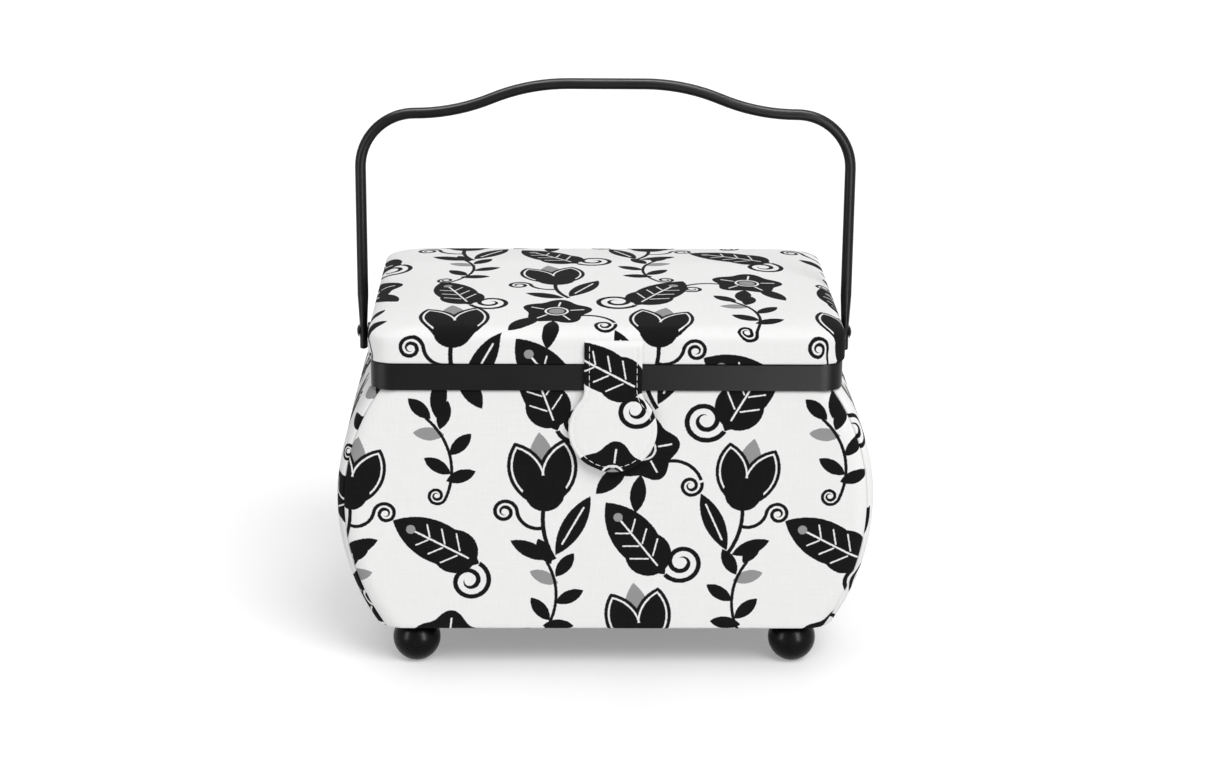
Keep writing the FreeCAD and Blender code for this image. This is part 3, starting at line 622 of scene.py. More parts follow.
class Bombe:
    """The body's form: two arcs up each end, and rounded upright corners."""

    def __init__(self, body):
        self.z_base, self.z_rim = COVER_LOW.z, BAND_LOW.z
        self.z_belly = self.z_base + body.belly_height
        self.belly_x, self.half_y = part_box("right_end_cover")[1].x, -COVER_LOW.y
        neck_x = BAND_HIGH.x - body.band_proud
        self.upper = self.arc_radius(self.belly_x - neck_x, self.z_rim - self.z_belly)
        self.lower = self.arc_radius(self.belly_x - body.base_length / 2, body.belly_height)
        self.corner = body.corner_radius

    @staticmethod
    def arc_radius(across, along):
        return (across ** 2 + along ** 2) / (2 * across)

    def end_x(self, z, inset):
        """Half the length at a height, inset square to the end."""
        radius = self.upper if z >= self.z_belly else self.lower
        return self.belly_x - radius + math.sqrt((radius - inset) ** 2 - (z - self.z_belly) ** 2)

    def climb(self, z):
        """Length up the end from the belly to a height."""
        radius = self.upper if z >= self.z_belly else self.lower
        return radius * math.asin((z - self.z_belly) / radius)

    def corner_point(self, z, bearing, sink):
        """Length and depth on the rounded corner; bearing turns from the front to the end."""
        reach = self.corner - sink
        x = self.end_x(z, self.corner - reach * math.sin(bearing))
        return x, self.half_y - self.corner + reach * math.cos(bearing)


SEAM_BEARING = math.radians(45)
SEAM_ROLL = math.radians(11)
CORNER_STEPS = 14
WALL_ROWS = 56
FLAT_STEPS = 72
WAVE_SIZE = 0.045
RIM_CALM = 0.012
SEAM_CALM = 0.02
SEAM_EDGE = 0.004


def wall_rows(form, body):
    """Heights up a cloth with how far each lies under the base, from the folded edge to the rim."""
    fold = 2 * body.cloth_thickness
    z_under = form.z_base - body.cloth_thickness
    rows = [(z_under, body.turn_under), (z_under, (body.turn_under + fold) / 2)]
    for step in range(7):
        turn = math.radians(15 * step)
        rows.append((z_under + fold * (1 - math.cos(turn)), fold * (1 - math.sin(turn))))
    start = rows[-1][0]
    rows += [(start + (form.z_rim - start) * step / WALL_ROWS, 0.0) for step in range(1, WALL_ROWS + 1)]
    return rows


def seam_sink(bearing, depth):
    """How far the cloth dips where it turns into a corner seam."""
    near = 1 - abs(bearing - SEAM_BEARING) / SEAM_ROLL
    return depth * (1 - math.sqrt(1 - min(1.0, max(0.0, near)) ** 2))


def freedom(form, z, flat, across):
    """How freely the stretched cloth waves: not at the rim and the seams, and fully between them."""
    return smooth_step((form.z_rim - z) / RIM_CALM) * smooth_step((flat + SEAM_EDGE - abs(across)) / SEAM_CALM)


def face_cloth(name, form, body, side, shift, material):
    """Cloth of the front or back, round to the corner seams."""
    points, uvs = [], []
    rows = wall_rows(form, body)
    bearings = [SEAM_BEARING * (1 - step / CORNER_STEPS) for step in range(CORNER_STEPS)]
    for z, under in rows:
        flat = form.end_x(z, form.corner)
        section = []
        for bearing in bearings:
            x, y = form.corner_point(z, bearing, seam_sink(bearing, body.seam_depth) + under)
            section.append((-x, y, -flat - form.corner * bearing))
        middle = [-flat + 2 * flat * step / FLAT_STEPS for step in range(FLAT_STEPS + 1)]
        section += [(x, form.half_y - under, x) for x in middle]
        section += [(-x, y, -u) for x, y, u in section[CORNER_STEPS - 1::-1]]
        for x, y, u in section:
            y += body.slack * freedom(form, z, flat, x) * wave(x, z, 0.0, WAVE_SIZE, 3.0 + side)
            points.append((x, side * y, z))
            uvs.append((side * -u + shift[0], z - under + shift[1]))
    columns = len(points) // len(rows)
    piece = make_piece(name, points, grid_faces(columns, len(rows), flip=side > 0), uvs, material)
    return thicken(piece, body.cloth_thickness)


def end_cloth(name, form, body, side, shift, material):
    """Cloth of one end, round to the corner seams."""
    points, uvs = [], []
    rows = wall_rows(form, body)
    sweep = math.pi / 2 - SEAM_BEARING
    bearings = [SEAM_BEARING + sweep * step / CORNER_STEPS for step in range(CORNER_STEPS)]
    flat = form.half_y - form.corner
    for z, under in rows:
        section = []
        for bearing in bearings:
            x, y = form.corner_point(z, bearing, seam_sink(bearing, body.seam_depth) + under)
            section.append((x, -y, -flat - form.corner * (math.pi / 2 - bearing)))
        end = form.end_x(z, under)
        section += [(end, flat * (2 * step / FLAT_STEPS - 1), flat * (2 * step / FLAT_STEPS - 1))
                    for step in range(FLAT_STEPS + 1)]
        section += [(x, -y, -u) for x, y, u in section[CORNER_STEPS - 1::-1]]
        for x, y, u in section:
            x += body.slack * freedom(form, z, flat, y) * (1.0 + wave(y, z, 0.0, WAVE_SIZE, 7.0 + side))
            points.append((side * x, y, z))
            uvs.append((side * u + shift[0], form.climb(z) - under + shift[1]))
    columns = len(points) // len(rows)
    piece = make_piece(name, points, grid_faces(columns, len(rows), flip=side < 0), uvs, material)
    return thicken(piece, body.cloth_thickness)


def side_point(half_x, half_y, radius, side, along):
    """Point and outward direction on a rounded rectangle; along runs -1 to 1 from corner to corner."""
    if side % 2:
        half_x, half_y = half_y, half_x
    straight, bend = half_x - radius, radius * math.pi / 4
    travel = along * (straight + bend)
    x, y, nx, ny = travel, -half_y, 0.0, -1.0
    if abs(travel) > straight and radius > 0:
        turn = (abs(travel) - straight) / radius
        nx, ny = math.copysign(math.sin(turn), travel), -math.cos(turn)
        x, y = math.copysign(straight, travel) + radius * nx, radius - half_y + radius * ny
    for _ in range(side):
        x, y, nx, ny = -y, x, -ny, nx
    return x, y, nx, ny


def pillow(half_x, half_y, rings, cells_x):
    """Grid over a rounded rectangle; rings are (inset, corner radius, height) from the edge to the middle.
    Returns (x, y, z, outward x, outward y, ring, side, along) for each point, and the grid's size."""
    depth = len(rings) - 1
    cells_y = 2 * depth
    grid = []
    for j in range(cells_y + 1):
        for i in range(cells_x + 1):
            ring = min(i, j, cells_x - i, cells_y - j)
            wide, tall = cells_x - 2 * ring, cells_y - 2 * ring
            if j == ring:
                side, along = 0, 2 * (i - ring) / wide - 1
            elif i == cells_x - ring:
                side, along = 1, 2 * (j - ring) / tall - 1
            elif j == cells_y - ring:
                side, along = 2, 1 - 2 * (i - ring) / wide
            else:
                side, along = 3, 1 - 2 * (j - ring) / tall
            inset, radius, z = rings[ring]
            radius = max(0.0, min(radius, half_y - inset))
            x, y, nx, ny = side_point(half_x - inset, half_y - inset, radius, side, along)
            grid.append((x, y, z, nx, ny, ring, side, along))
    return grid, cells_x + 1, cells_y + 1


def pillow_piece(name, grid, columns, rows, material, centre=(0.0, 0.0), down=False):
    """The open cloth of a padded piece on a pillow grid."""
    points = [(x + centre[0], y + centre[1], z) for x, y, z, *_ in grid]
    return make_piece(name, points, grid_faces(columns, rows, flip=down), [(x, y) for x, y, _ in points], material)


def spread(first, last, count):
    return [first + (last - first) * step / count for step in range(1, count + 1)]


def crowned_rings(half_y, seat, rise, roll, radius, shoulder, edge_rows, crown_rows):
    """Rings of a stuffed form on a flat seat: sides drawn in, a rolled shoulder and a crown above it."""
    rings = [(0.03 * roll, radius, seat)]
    for step in range(1, edge_rows + 1):
        turn = math.radians(90 * step / edge_rows)
        rings.append((0.5 * roll * (1 - math.cos(turn)) ** 1.6, radius, seat + rise * shoulder * math.sin(turn)))
    start = rings[-1][0]
    for inset in spread(start, half_y, crown_rows):
        share = (inset - start) / (half_y - start)
        rings.append((inset, radius, seat + rise * (shoulder + (1 - shoulder) * (1 - (1 - share) ** 2))))
    return rings


def sewn_diamonds(x, y, size):
    """1 on the lines that quilt a pad in diamonds, and 0 between them, where the cloth swells."""
    seam_share = 0.07
    away = min(abs((x + sign * y) / size % 1.0 - 0.5) for sign in (-1, 1))
    return math.exp(-(away / seam_share) ** 2)


def inflate(piece, held, pressure, cap, frames=20):
    """Swell a padded piece by a cloth simulation; held is each point's hold, and no point moves past the cap."""
    mesh, scene = piece.data, bpy.context.scene
    group = piece.vertex_groups.new(name="held")
    for index, hold in enumerate(held):
        group.add([index], hold, "REPLACE")
    modifier = piece.modifiers.new("Stuffing", "CLOTH")
    cloth = modifier.settings
    cloth.vertex_group_mass = group.name
    cloth.use_pressure, cloth.uniform_pressure_force = True, pressure
    cloth.effector_weights.gravity = 0.0
    modifier.collision_settings.use_collision = False
    modifier.point_cache.frame_start, modifier.point_cache.frame_end = 1, frames
    for frame_number in range(1, frames + 1):
        scene.frame_set(frame_number)
    swollen = piece.evaluated_get(bpy.context.evaluated_depsgraph_get()).data
    moves = [after.co - before.co for before, after in zip(mesh.vertices, swollen.vertices)]
    piece.modifiers.remove(modifier)
    for vertex, move in zip(mesh.vertices, moves):
        vertex.co += move * min(1.0, cap / max(move.length, 1e-9))
    piece.vertex_groups.remove(group)
    mesh.update()
    scene.frame_set(1)


def stitch_tree():
    """Geometry nodes that lay stitches along a line."""
    group = bpy.data.node_groups.new("Stitches", "GeometryNodeTree")
    sockets = group.interface
    sockets.new_socket("Geometry", in_out="INPUT", socket_type="NodeSocketGeometry")
    for name in ("Stitch length", "Gap", "Thread"):
        sockets.new_socket(name, in_out="INPUT", socket_type="NodeSocketFloat")
    sockets.new_socket("Material", in_out="INPUT", socket_type="NodeSocketMaterial")
    sockets.new_socket("Geometry", in_out="OUTPUT", socket_type="NodeSocketGeometry")
    tree = Tree(group)
    line = tree.node("NodeGroupInput")
    source = line.socket.node.outputs
    long, gap, thread = (Wire(tree, source[name]) for name in ("Stitch length", "Gap", "Thread"))
    curve = tree.node("GeometryNodeMeshToCurve", {}, {"Mesh": line})
    curve = tree.node("GeometryNodeResampleCurve", {"mode": "LENGTH"}, {"Curve": curve, "Length": long + gap})
    facing = tree.node("FunctionNodeAlignRotationToVector", {"axis": "Z"},
                       {"Vector": tree.node("GeometryNodeInputTangent")})
    ball = tree.node("GeometryNodeMeshUVSphere", {}, {"Segments": 8, "Rings": 6, "Radius": 0.5})
    size = tree.node("ShaderNodeCombineXYZ", {}, {0: thread, 1: thread, 2: long})
    laid = tree.node("GeometryNodeInstanceOnPoints", {}, {"Points": curve, "Instance": ball, "Rotation": facing,
                                                          "Scale": size})
    laid = tree.node("GeometryNodeRealizeInstances", {}, {"Geometry": laid})
    laid = tree.node("GeometryNodeSetShadeSmooth", {}, {"Geometry": laid})
    laid = tree.node("GeometryNodeSetMaterial", {}, {"Geometry": laid, "Material": Wire(tree, source["Material"])})
    tree.node("NodeGroupOutput", {}, {"Geometry": laid})
    return group


def stitches(name, runs, long, gap, thread, material):
    """Stitches along one or more open lines, as a plain mesh."""
    points, edges = [], []
    for run in runs:
        edges += [(len(points) + step, len(points) + step + 1) for step in range(len(run) - 1)]
        points += run
    mesh = bpy.data.meshes.new(name)
    mesh.from_pydata(points, edges, [])
    piece = bpy.data.objects.new(name, mesh)
    bpy.context.scene.collection.objects.link(piece)
    group = bpy.data.node_groups.get("Stitches") or stitch_tree()
    modifier = piece.modifiers.new("Stitches", "NODES")
    modifier.node_group = group
    values = {"Stitch length": long, "Gap": gap, "Thread": thread, "Material": material}
    for item in group.interface.items_tree:
        if item.in_out == "INPUT" and item.name in values:
            modifier[item.identifier] = values[item.name]
    depsgraph = bpy.context.evaluated_depsgraph_get()
    plain = bpy.data.meshes.new_from_object(piece.evaluated_get(depsgraph))
    piece.modifiers.remove(modifier)
    piece.data = plain
    return piece


# Operators, one for each piece or group of like pieces


def settings_of(context):
    return context.scene.sewing_box


def finish_named(name, make):
    return bpy.data.materials.get(name) or make()


def printed_cloth_of(context):
    return finish_named("printed_cotton", lambda: printed_cotton(settings_of(context).print))


def lining_cloth():
    return finish_named("lining_cotton", lambda: plain_cotton("lining_cotton", (0.50, 0.50, 0.495)))


def thread_finish():
    return finish_named("sewing_thread", sewing_thread)


class BodyClothOperator(bpy.types.Operator):
    """Cover the body with printed cloth and close its base"""
    bl_idname = "sewing_box.body_cloth"
    bl_label = "Body Cloth"

    def execute(self, context):
        body = settings_of(context).body
        form = Bombe(body)
        cloth = printed_cloth_of(context)
        panels = (("front", -1, (0.006, 0.012)), ("back", 1, (0.095, 0.060)))
        for name, side, shift in panels:
            piece = face_cloth(name + "_cloth", form, body, side, shift, cloth)
            self.settle(piece, name, 2 * form.belly_x, form.z_rim - form.z_base)
        ends = (("left_end", -1, (0.040, 0.080)), ("right_end", 1, (0.128, 0.030)))
        for name, side, shift in ends:
            piece = end_cloth(name + "_cloth", form, body, side, shift, cloth)
            self.settle(piece, name, 2 * form.half_y, form.z_rim - form.z_base)
        self.base(form)
        return {"FINISHED"}

    @staticmethod
    def settle(piece, name, width, height):
        declare_sheet(piece, width, 1.1 * height, [name + "_panel"])
        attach(piece, "box")
        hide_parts(name + "_cover")

    @staticmethod
    def base(form):
        """Black cloth under the base, with a pressed edge."""
        low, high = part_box("base_cloth")
        edge, corner = high.z - low.z, form.corner - (form.half_y - high.y)
        rings = [(0.0, corner, high.z), (0.0, corner, low.z + 0.4 * edge)]
        rings += [(inset, corner, low.z + edge * 0.12 * math.cos(9.0 * step))
                  for step, inset in enumerate([0.0006, 0.003] + spread(0.003, high.y, 16))]
        grid, columns, rows = pillow(high.x, high.y, rings, 58)
        felt = finish_named("base_felt", lambda: plain_cotton("base_felt", (0.030, 0.030, 0.031), 1.1, 0.05))
        piece = round_off(pillow_piece("base_felt", grid, columns, rows, felt, down=True))
        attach(piece, "box")
        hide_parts("base_cloth")


class LiningOperator(bpy.types.Operator):
    """Line the inside of the body and lay a quilted pad on its floor"""
    bl_idname = "sewing_box.lining"
    bl_label = "Lining"

    tucks = 64
    tuck_depth = 0.0003
    rows = 30
    quilt = 0.028
    pad_corner = 0.006

    def execute(self, context):
        body = settings_of(context).body
        form = Bombe(body)
        self.walls(form)
        self.floor(settings_of(context).lid.stuffing)
        return {"FINISHED"}

    def walls(self, form):
        low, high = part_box("wall_lining")
        inner_y, corner = high.y - 0.0008, form.corner - (form.half_y - high.y) - 0.0008
        inset = form.half_y - inner_y
        points, uvs = [], []
        count = 480
        for row in range(self.rows + 1):
            z = low.z + (high.z - low.z) * row / self.rows
            half_x = form.end_x(z, 0.0) - inset
            around = 0.0
            for step in range(count):
                side, along = divmod(4 * step / count, 1.0)
                x, y, nx, ny = side_point(half_x, inner_y, corner, int(side), 2 * along - 1)
                lift = self.tuck_depth * (abs(math.sin(math.pi * self.tucks * step / count)) - 0.5)
                points.append((x + nx * lift, y + ny * lift, z))
                around += (2 * half_x if int(side) % 2 == 0 else 2 * inner_y) * 4 / count
                uvs.append((around, z))
        faces = grid_faces(count, self.rows + 1, flip=True, closed=True)
        piece = thicken(make_piece("wall_lining_cloth", points, faces, uvs, lining_cloth()), 0.0005)
        declare_sheet(piece, 4 * (form.belly_x + inner_y), high.z - low.z, ["front_panel", "back_panel"])
        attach(piece, "box")
        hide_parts("wall_lining")

    def floor(self, stuffing):
        """Pad sewn in diamonds."""
        low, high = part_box("floor_pad")
        half_x, half_y = high.x - 0.0015, high.y - 0.0005
        rise = high.z - low.z
        section = [(0.0008, 0.0), (0.0, 0.3), (0.0006, 0.6)]
        section += [(inset, 0.68) for inset in spread(0.0006, half_y, 25)]
        rings = [(inset, self.pad_corner, low.z + share * rise) for inset, share in section]
        grid, columns, rows = pillow(half_x, half_y, rings, 84)
        sewn, held = [], []
        for x, y, z, nx, ny, ring, *rest in grid:
            line = sewn_diamonds(x, y, self.quilt) * (ring > 3)
            sewn.append((x, y, z - 0.35 * rise * line, nx, ny, ring, *rest))
            held.append(float(ring < 3 or line > 0.35))
        piece = pillow_piece("floor_cushion", sewn, columns, rows, lining_cloth())
        inflate(piece, held, stuffing, 0.4 * rise)
        round_off(piece)
        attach(piece, "box")
        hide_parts("floor_pad")


class LidClothOperator(bpy.types.Operator):
    """Upholster the lid"""
    bl_idname = "sewing_box.lid_cloth"
    bl_label = "Lid Upholstery"

    cells = 92
    swell = 0.0016
    crown = 0.0006
    cloth_thickness = 0.0007
    print_shift = (0.051, 0.033)
    wall_rings, roll_rings, crown_rings = 5, 12, 12

    def execute(self, context):
        lid = settings_of(context).lid
        half_x, half_y = LID_HIGH.x, -LID_LOW.y
        edge = self.edge(lid)
        rings = edge + self.rings(lid, half_y)
        wall_ring = len(edge)
        shoulder_ring, pad_ring = wall_ring + self.wall_rings + 3, wall_ring + self.wall_rings + 6
        grid, columns, rows = pillow(half_x, half_y, rings, self.cells)
        points, uvs = [], []
        for x, y, z, nx, ny, ring, side, along in grid:
            crease = lid.crease_depth * (abs(along) > 0.999) * (wall_ring <= ring <= shoulder_ring)
            ease = 0.0004 * wave(x, y, z, 0.05, 11.0) * smooth_step((ring - shoulder_ring) / 8)
            pucker = lid.pucker * self.pucker(side, along, ring, shoulder_ring, pad_ring)
            points.append((x - (crease - pucker) * nx, y - (crease - pucker) * ny, z + ease + pucker))
            uvs.append(self.uv(x, y, half_x, half_y, rings, ring, shoulder_ring, side, along))
        faces = grid_faces(columns, rows)
        piece = make_piece("lid_upholstery", points, faces, uvs, printed_cloth_of(context))
        inflate(piece, [float(cell[5] <= pad_ring) for cell in grid], lid.stuffing, self.swell)
        thicken(round_off(piece, close=False), self.cloth_thickness)
        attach(piece, "lid")
        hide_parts("lid_cover", "lid_pad")
        return {"FINISHED"}

    @staticmethod
    def pucker(side, along, ring, shoulder_ring, pad_ring):
        """Gathers across the lid's edge, strongest at the corners, between -1 and 1."""
        near = smooth_step((ring - shoulder_ring + 4) / 4) * smooth_step((pad_ring + 6 - ring) / 5)
        corner = 0.3 + 0.7 * smooth_step((abs(along) - 0.6) / 0.3)
        return near * corner * wave(17.0 * along + 40.0 * side, 0.05 * ring, 0.0, 1.0, 23.0)

    @staticmethod
    def edge(lid):
        """Rings of the cloth that is turned in: down the frame's inner wall, under it and out to the lid's wall."""
        low, inner = LID_LOW.z, LID_HIGH.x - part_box("lid_lining")[1].x
        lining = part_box("lid_lining")[0].z
        # Inset and height of each ring, from the hidden hem to the foot of the wall
        section = [(inner + 0.0002, lining + 0.0015), (inner + 0.0002, lining - 0.003), (inner + 0.0002, low + 0.003),
                   (inner + 0.00015, low + 0.0008), (inner + 0.00015, low - 0.00015), (inner - 0.0008, low - 0.00015),
                   (0.0030, low - 0.0001), (0.0012, low - 0.0001), (0.0003, low), (0.0, low + 0.0008)]
        return [(inset, lid.corner_radius - inset, z) for inset, z in section]

    def rings(self, lid, half_y):
        """Rings up the lid's wall, over its rolled edge and across the pad."""
        radius, low, top = lid.corner_radius, LID_LOW.z, LID_HIGH.z - self.swell
        wall_top = low + lid.wall
        rings = [(0.0, radius, z) for z in spread(low + 0.0008, wall_top, self.wall_rings)]
        power = 2 / lid.fullness
        for turn in spread(0.0, math.pi / 2, self.roll_rings):
            inset = lid.roll * (1 - max(0.0, math.cos(turn)) ** power)
            corner = radius + (lid.pad_corner - radius) * inset / lid.roll
            rings.append((inset, corner, wall_top + (top - self.crown - wall_top) * math.sin(turn) ** power))
        for inset in spread(lid.roll, half_y, self.crown_rings):
            share = (inset - lid.roll) / (half_y - lid.roll)
            rings.append((inset, lid.pad_corner, top - self.crown * (1 - share) ** 2))
        return rings

    def uv(self, x, y, half_x, half_y, rings, ring, shoulder_ring, side, along):
        """Flat on top, and run on down the wall by its length there."""
        right, up = self.print_shift
        if ring >= shoulder_ring:
            return x + right, y + up
        path = sum(math.hypot(rings[k][0] - rings[k + 1][0], rings[k][2] - rings[k + 1][2])
                   for k in range(ring, shoulder_ring))
        inset, radius, _ = rings[shoulder_ring]
        px, py, nx, ny = side_point(half_x - inset, half_y - inset, radius, side, along)
        return px + nx * path + right, py + ny * path + up


class LidInsideOperator(bpy.types.Operator):
    """Line the lid and sew a pincushion and a gathered pocket to it"""
    bl_idname = "sewing_box.lid_inside"
    bl_label = "Lid Lining"

    quilt = 0.026
    quilt_depth = 0.0012
    lining_corner = 0.007
    pocket_columns, pocket_rows = 208, 72
    pocket_corner = 0.008
    pocket_thickness = 0.0004
    casing = 0.003

    def execute(self, context):
        lid = settings_of(context).lid
        self.lining(lid)
        self.pincushion(lid)
        self.pocket(lid, settings_of(context).tab)
        return {"FINISHED"}

    @staticmethod
    def settle(piece, fill, node, slot):
        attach(piece, "lid")
        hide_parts(node)

    def lining(self, lid):
        """Padded lining with a piped edge."""
        low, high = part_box("lid_lining")
        thick = high.z - low.z
        section = [(0.0006, 1.0), (0.0, 0.65), (0.0004, 0.35), (0.0014, 0.0), (0.0028, 0.1), (0.0040, 0.5),
                   (0.0054, 0.45)]
        section += [(inset, 0.3) for inset in spread(0.0054, high.y, 15)]
        rings = [(inset, self.lining_corner, low.z + share * thick) for inset, share in section]
        grid, columns, rows = pillow(high.x, high.y, rings, 60)
        piece = pillow_piece("lid_lining_cloth", grid, columns, rows, lining_cloth(), down=True)
        sewn = [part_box(node) for node in ("pincushion", "lid_pocket")]
        held = [float(ring < 7 or any(a.x < x < b.x and a.y < y < b.y for a, b in sewn))
                for x, y, _, _, _, ring, *_ in grid]
        inflate(piece, held, lid.stuffing, 0.3 * thick)
        round_off(piece)
        self.settle(piece, 0.5, "lid_lining", "lining_cloth")

    def pincushion(self, lid):
        """Stuffed cushion, full in the middle and sewn in diamonds."""
        low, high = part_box("pincushion")
        centre, half_x, half_y = (low + high) / 2, (high.x - low.x) / 2, (high.y - low.y) / 2
        rise, swell = low.z - high.z, 0.0014
        rings = crowned_rings(half_y, high.z, rise + swell, 0.015, 0.008, 0.60, 5, 22)
        grid, columns, rows = pillow(half_x, half_y, rings, 84)
        sewn, held = [], []
        for x, y, z, nx, ny, ring, *rest in grid:
            line = sewn_diamonds(x, y, self.quilt) * smooth_step((ring - 3) / 4)
            sewn.append((x, y, z + self.quilt_depth * line, nx, ny, ring, *rest))
            held.append(float(ring < 3 or line > 0.35))
        black = finish_named("pincushion_cotton",
                             lambda: plain_cotton("pincushion_cotton", (0.036, 0.036, 0.037), sheen=0.3))
        piece = pillow_piece("pincushion_pad", sewn, columns, rows, black, (centre.x, centre.y), down=True)
        inflate(piece, held, lid.stuffing, swell)
        round_off(piece)
        self.settle(piece, 0.9, "pincushion", "pincushion_cloth")

    def pocket(self, lid, tab):
        """Cloth drawn in by an elastic below its frilled mouth, and stitched down on its other three sides."""
        low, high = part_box("lid_pocket")
        wide, deep = high.x - low.x, high.y - low.y
        columns, rows = self.pocket_columns, self.pocket_rows
        points = [self.pocket_point(low, high, lid, 2 * i / columns - 1, deep * j / rows)
                  for j in range(rows + 1) for i in range(columns + 1)]
        faces = grid_faces(columns + 1, rows + 1, flip=True)
        piece = make_piece("gathered_pocket", points, faces, [(x, y) for x, y, _ in points], lining_cloth())
        thicken(piece, self.pocket_thickness)
        inset, rim = tab.stitch_inset, 1 - 2 * tab.stitch_inset / wide
        casing = (lid.elastic - self.casing, lid.elastic + self.casing)
        lines = [[(across, travel) for across in [-rim] + spread(-rim, rim, 400)] for travel in casing]
        side = spread(casing[0], deep - inset, 90)
        foot = [(across, deep - inset) for across in spread(-rim, rim, 120)]
        lines.append([(-rim, travel) for travel in side] + foot + [(rim, travel) for travel in side[::-1]])
        runs = [[Vector(self.pocket_point(low, high, lid, *spot)) - Vector((0.0, 0.0, 0.1 * tab.thread))
                 for spot in line] for line in lines]
        seam = stitches("pocket_stitches", runs, 0.7 * tab.stitch_length, 0.8 * tab.stitch_gap, 0.7 * tab.thread,
                        thread_finish())
        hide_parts("lid_pocket")
        for part in (piece, seam):
            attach(part, "lid")

    def pocket_point(self, low, high, lid, across, travel):
        """Point of the pocket: across runs -1 to 1, and travel down from the mouth."""
        wide, deep, corner = (high.x - low.x) / 2, high.y - low.y, self.pocket_corner
        turned = max(0.0, corner - (deep - travel))
        reach = wide - corner + math.sqrt(max(0.0, corner ** 2 - turned ** 2))
        x = across * wide
        calm = smooth_step((1 - abs(across)) * wide / 0.007) * smooth_step((deep - travel) / 0.009)
        phase = lid.gathers * math.pi / 2 * (across + 1) + 1.1 * wave(x, 0.25 * travel, 0.0, 0.018, 31.0)
        fold = abs(math.sin(phase)) ** 0.8 * (0.75 + 0.35 * wave(x, 0.4 * travel, 0.0, 0.012, 37.0))
        below = max(0.0, travel - lid.elastic - self.casing)
        fade = 0.22 + 0.78 * math.exp(-below / (0.026 + 0.014 * wave(x, 0.0, 0.0, 0.009, 41.0)))
        frill = smooth_step(1 - travel / (lid.elastic - self.casing))
        drawn = math.exp(-((travel - lid.elastic) / 0.0028) ** 2)
        belly = 0.0015 * math.sin(math.pi * min(1.0, below / (deep - lid.elastic)) ** 0.7)
        stand = 0.0009 + belly + 0.0005 * frill + lid.gather_depth * (fade + 0.35 * frill - 0.55 * drawn) * fold
        y = low.y + travel - 0.0009 * frill * (fold - 0.4)
        return (low.x + high.x) / 2 + across * reach, y, high.z + 0.0004 - calm * stand


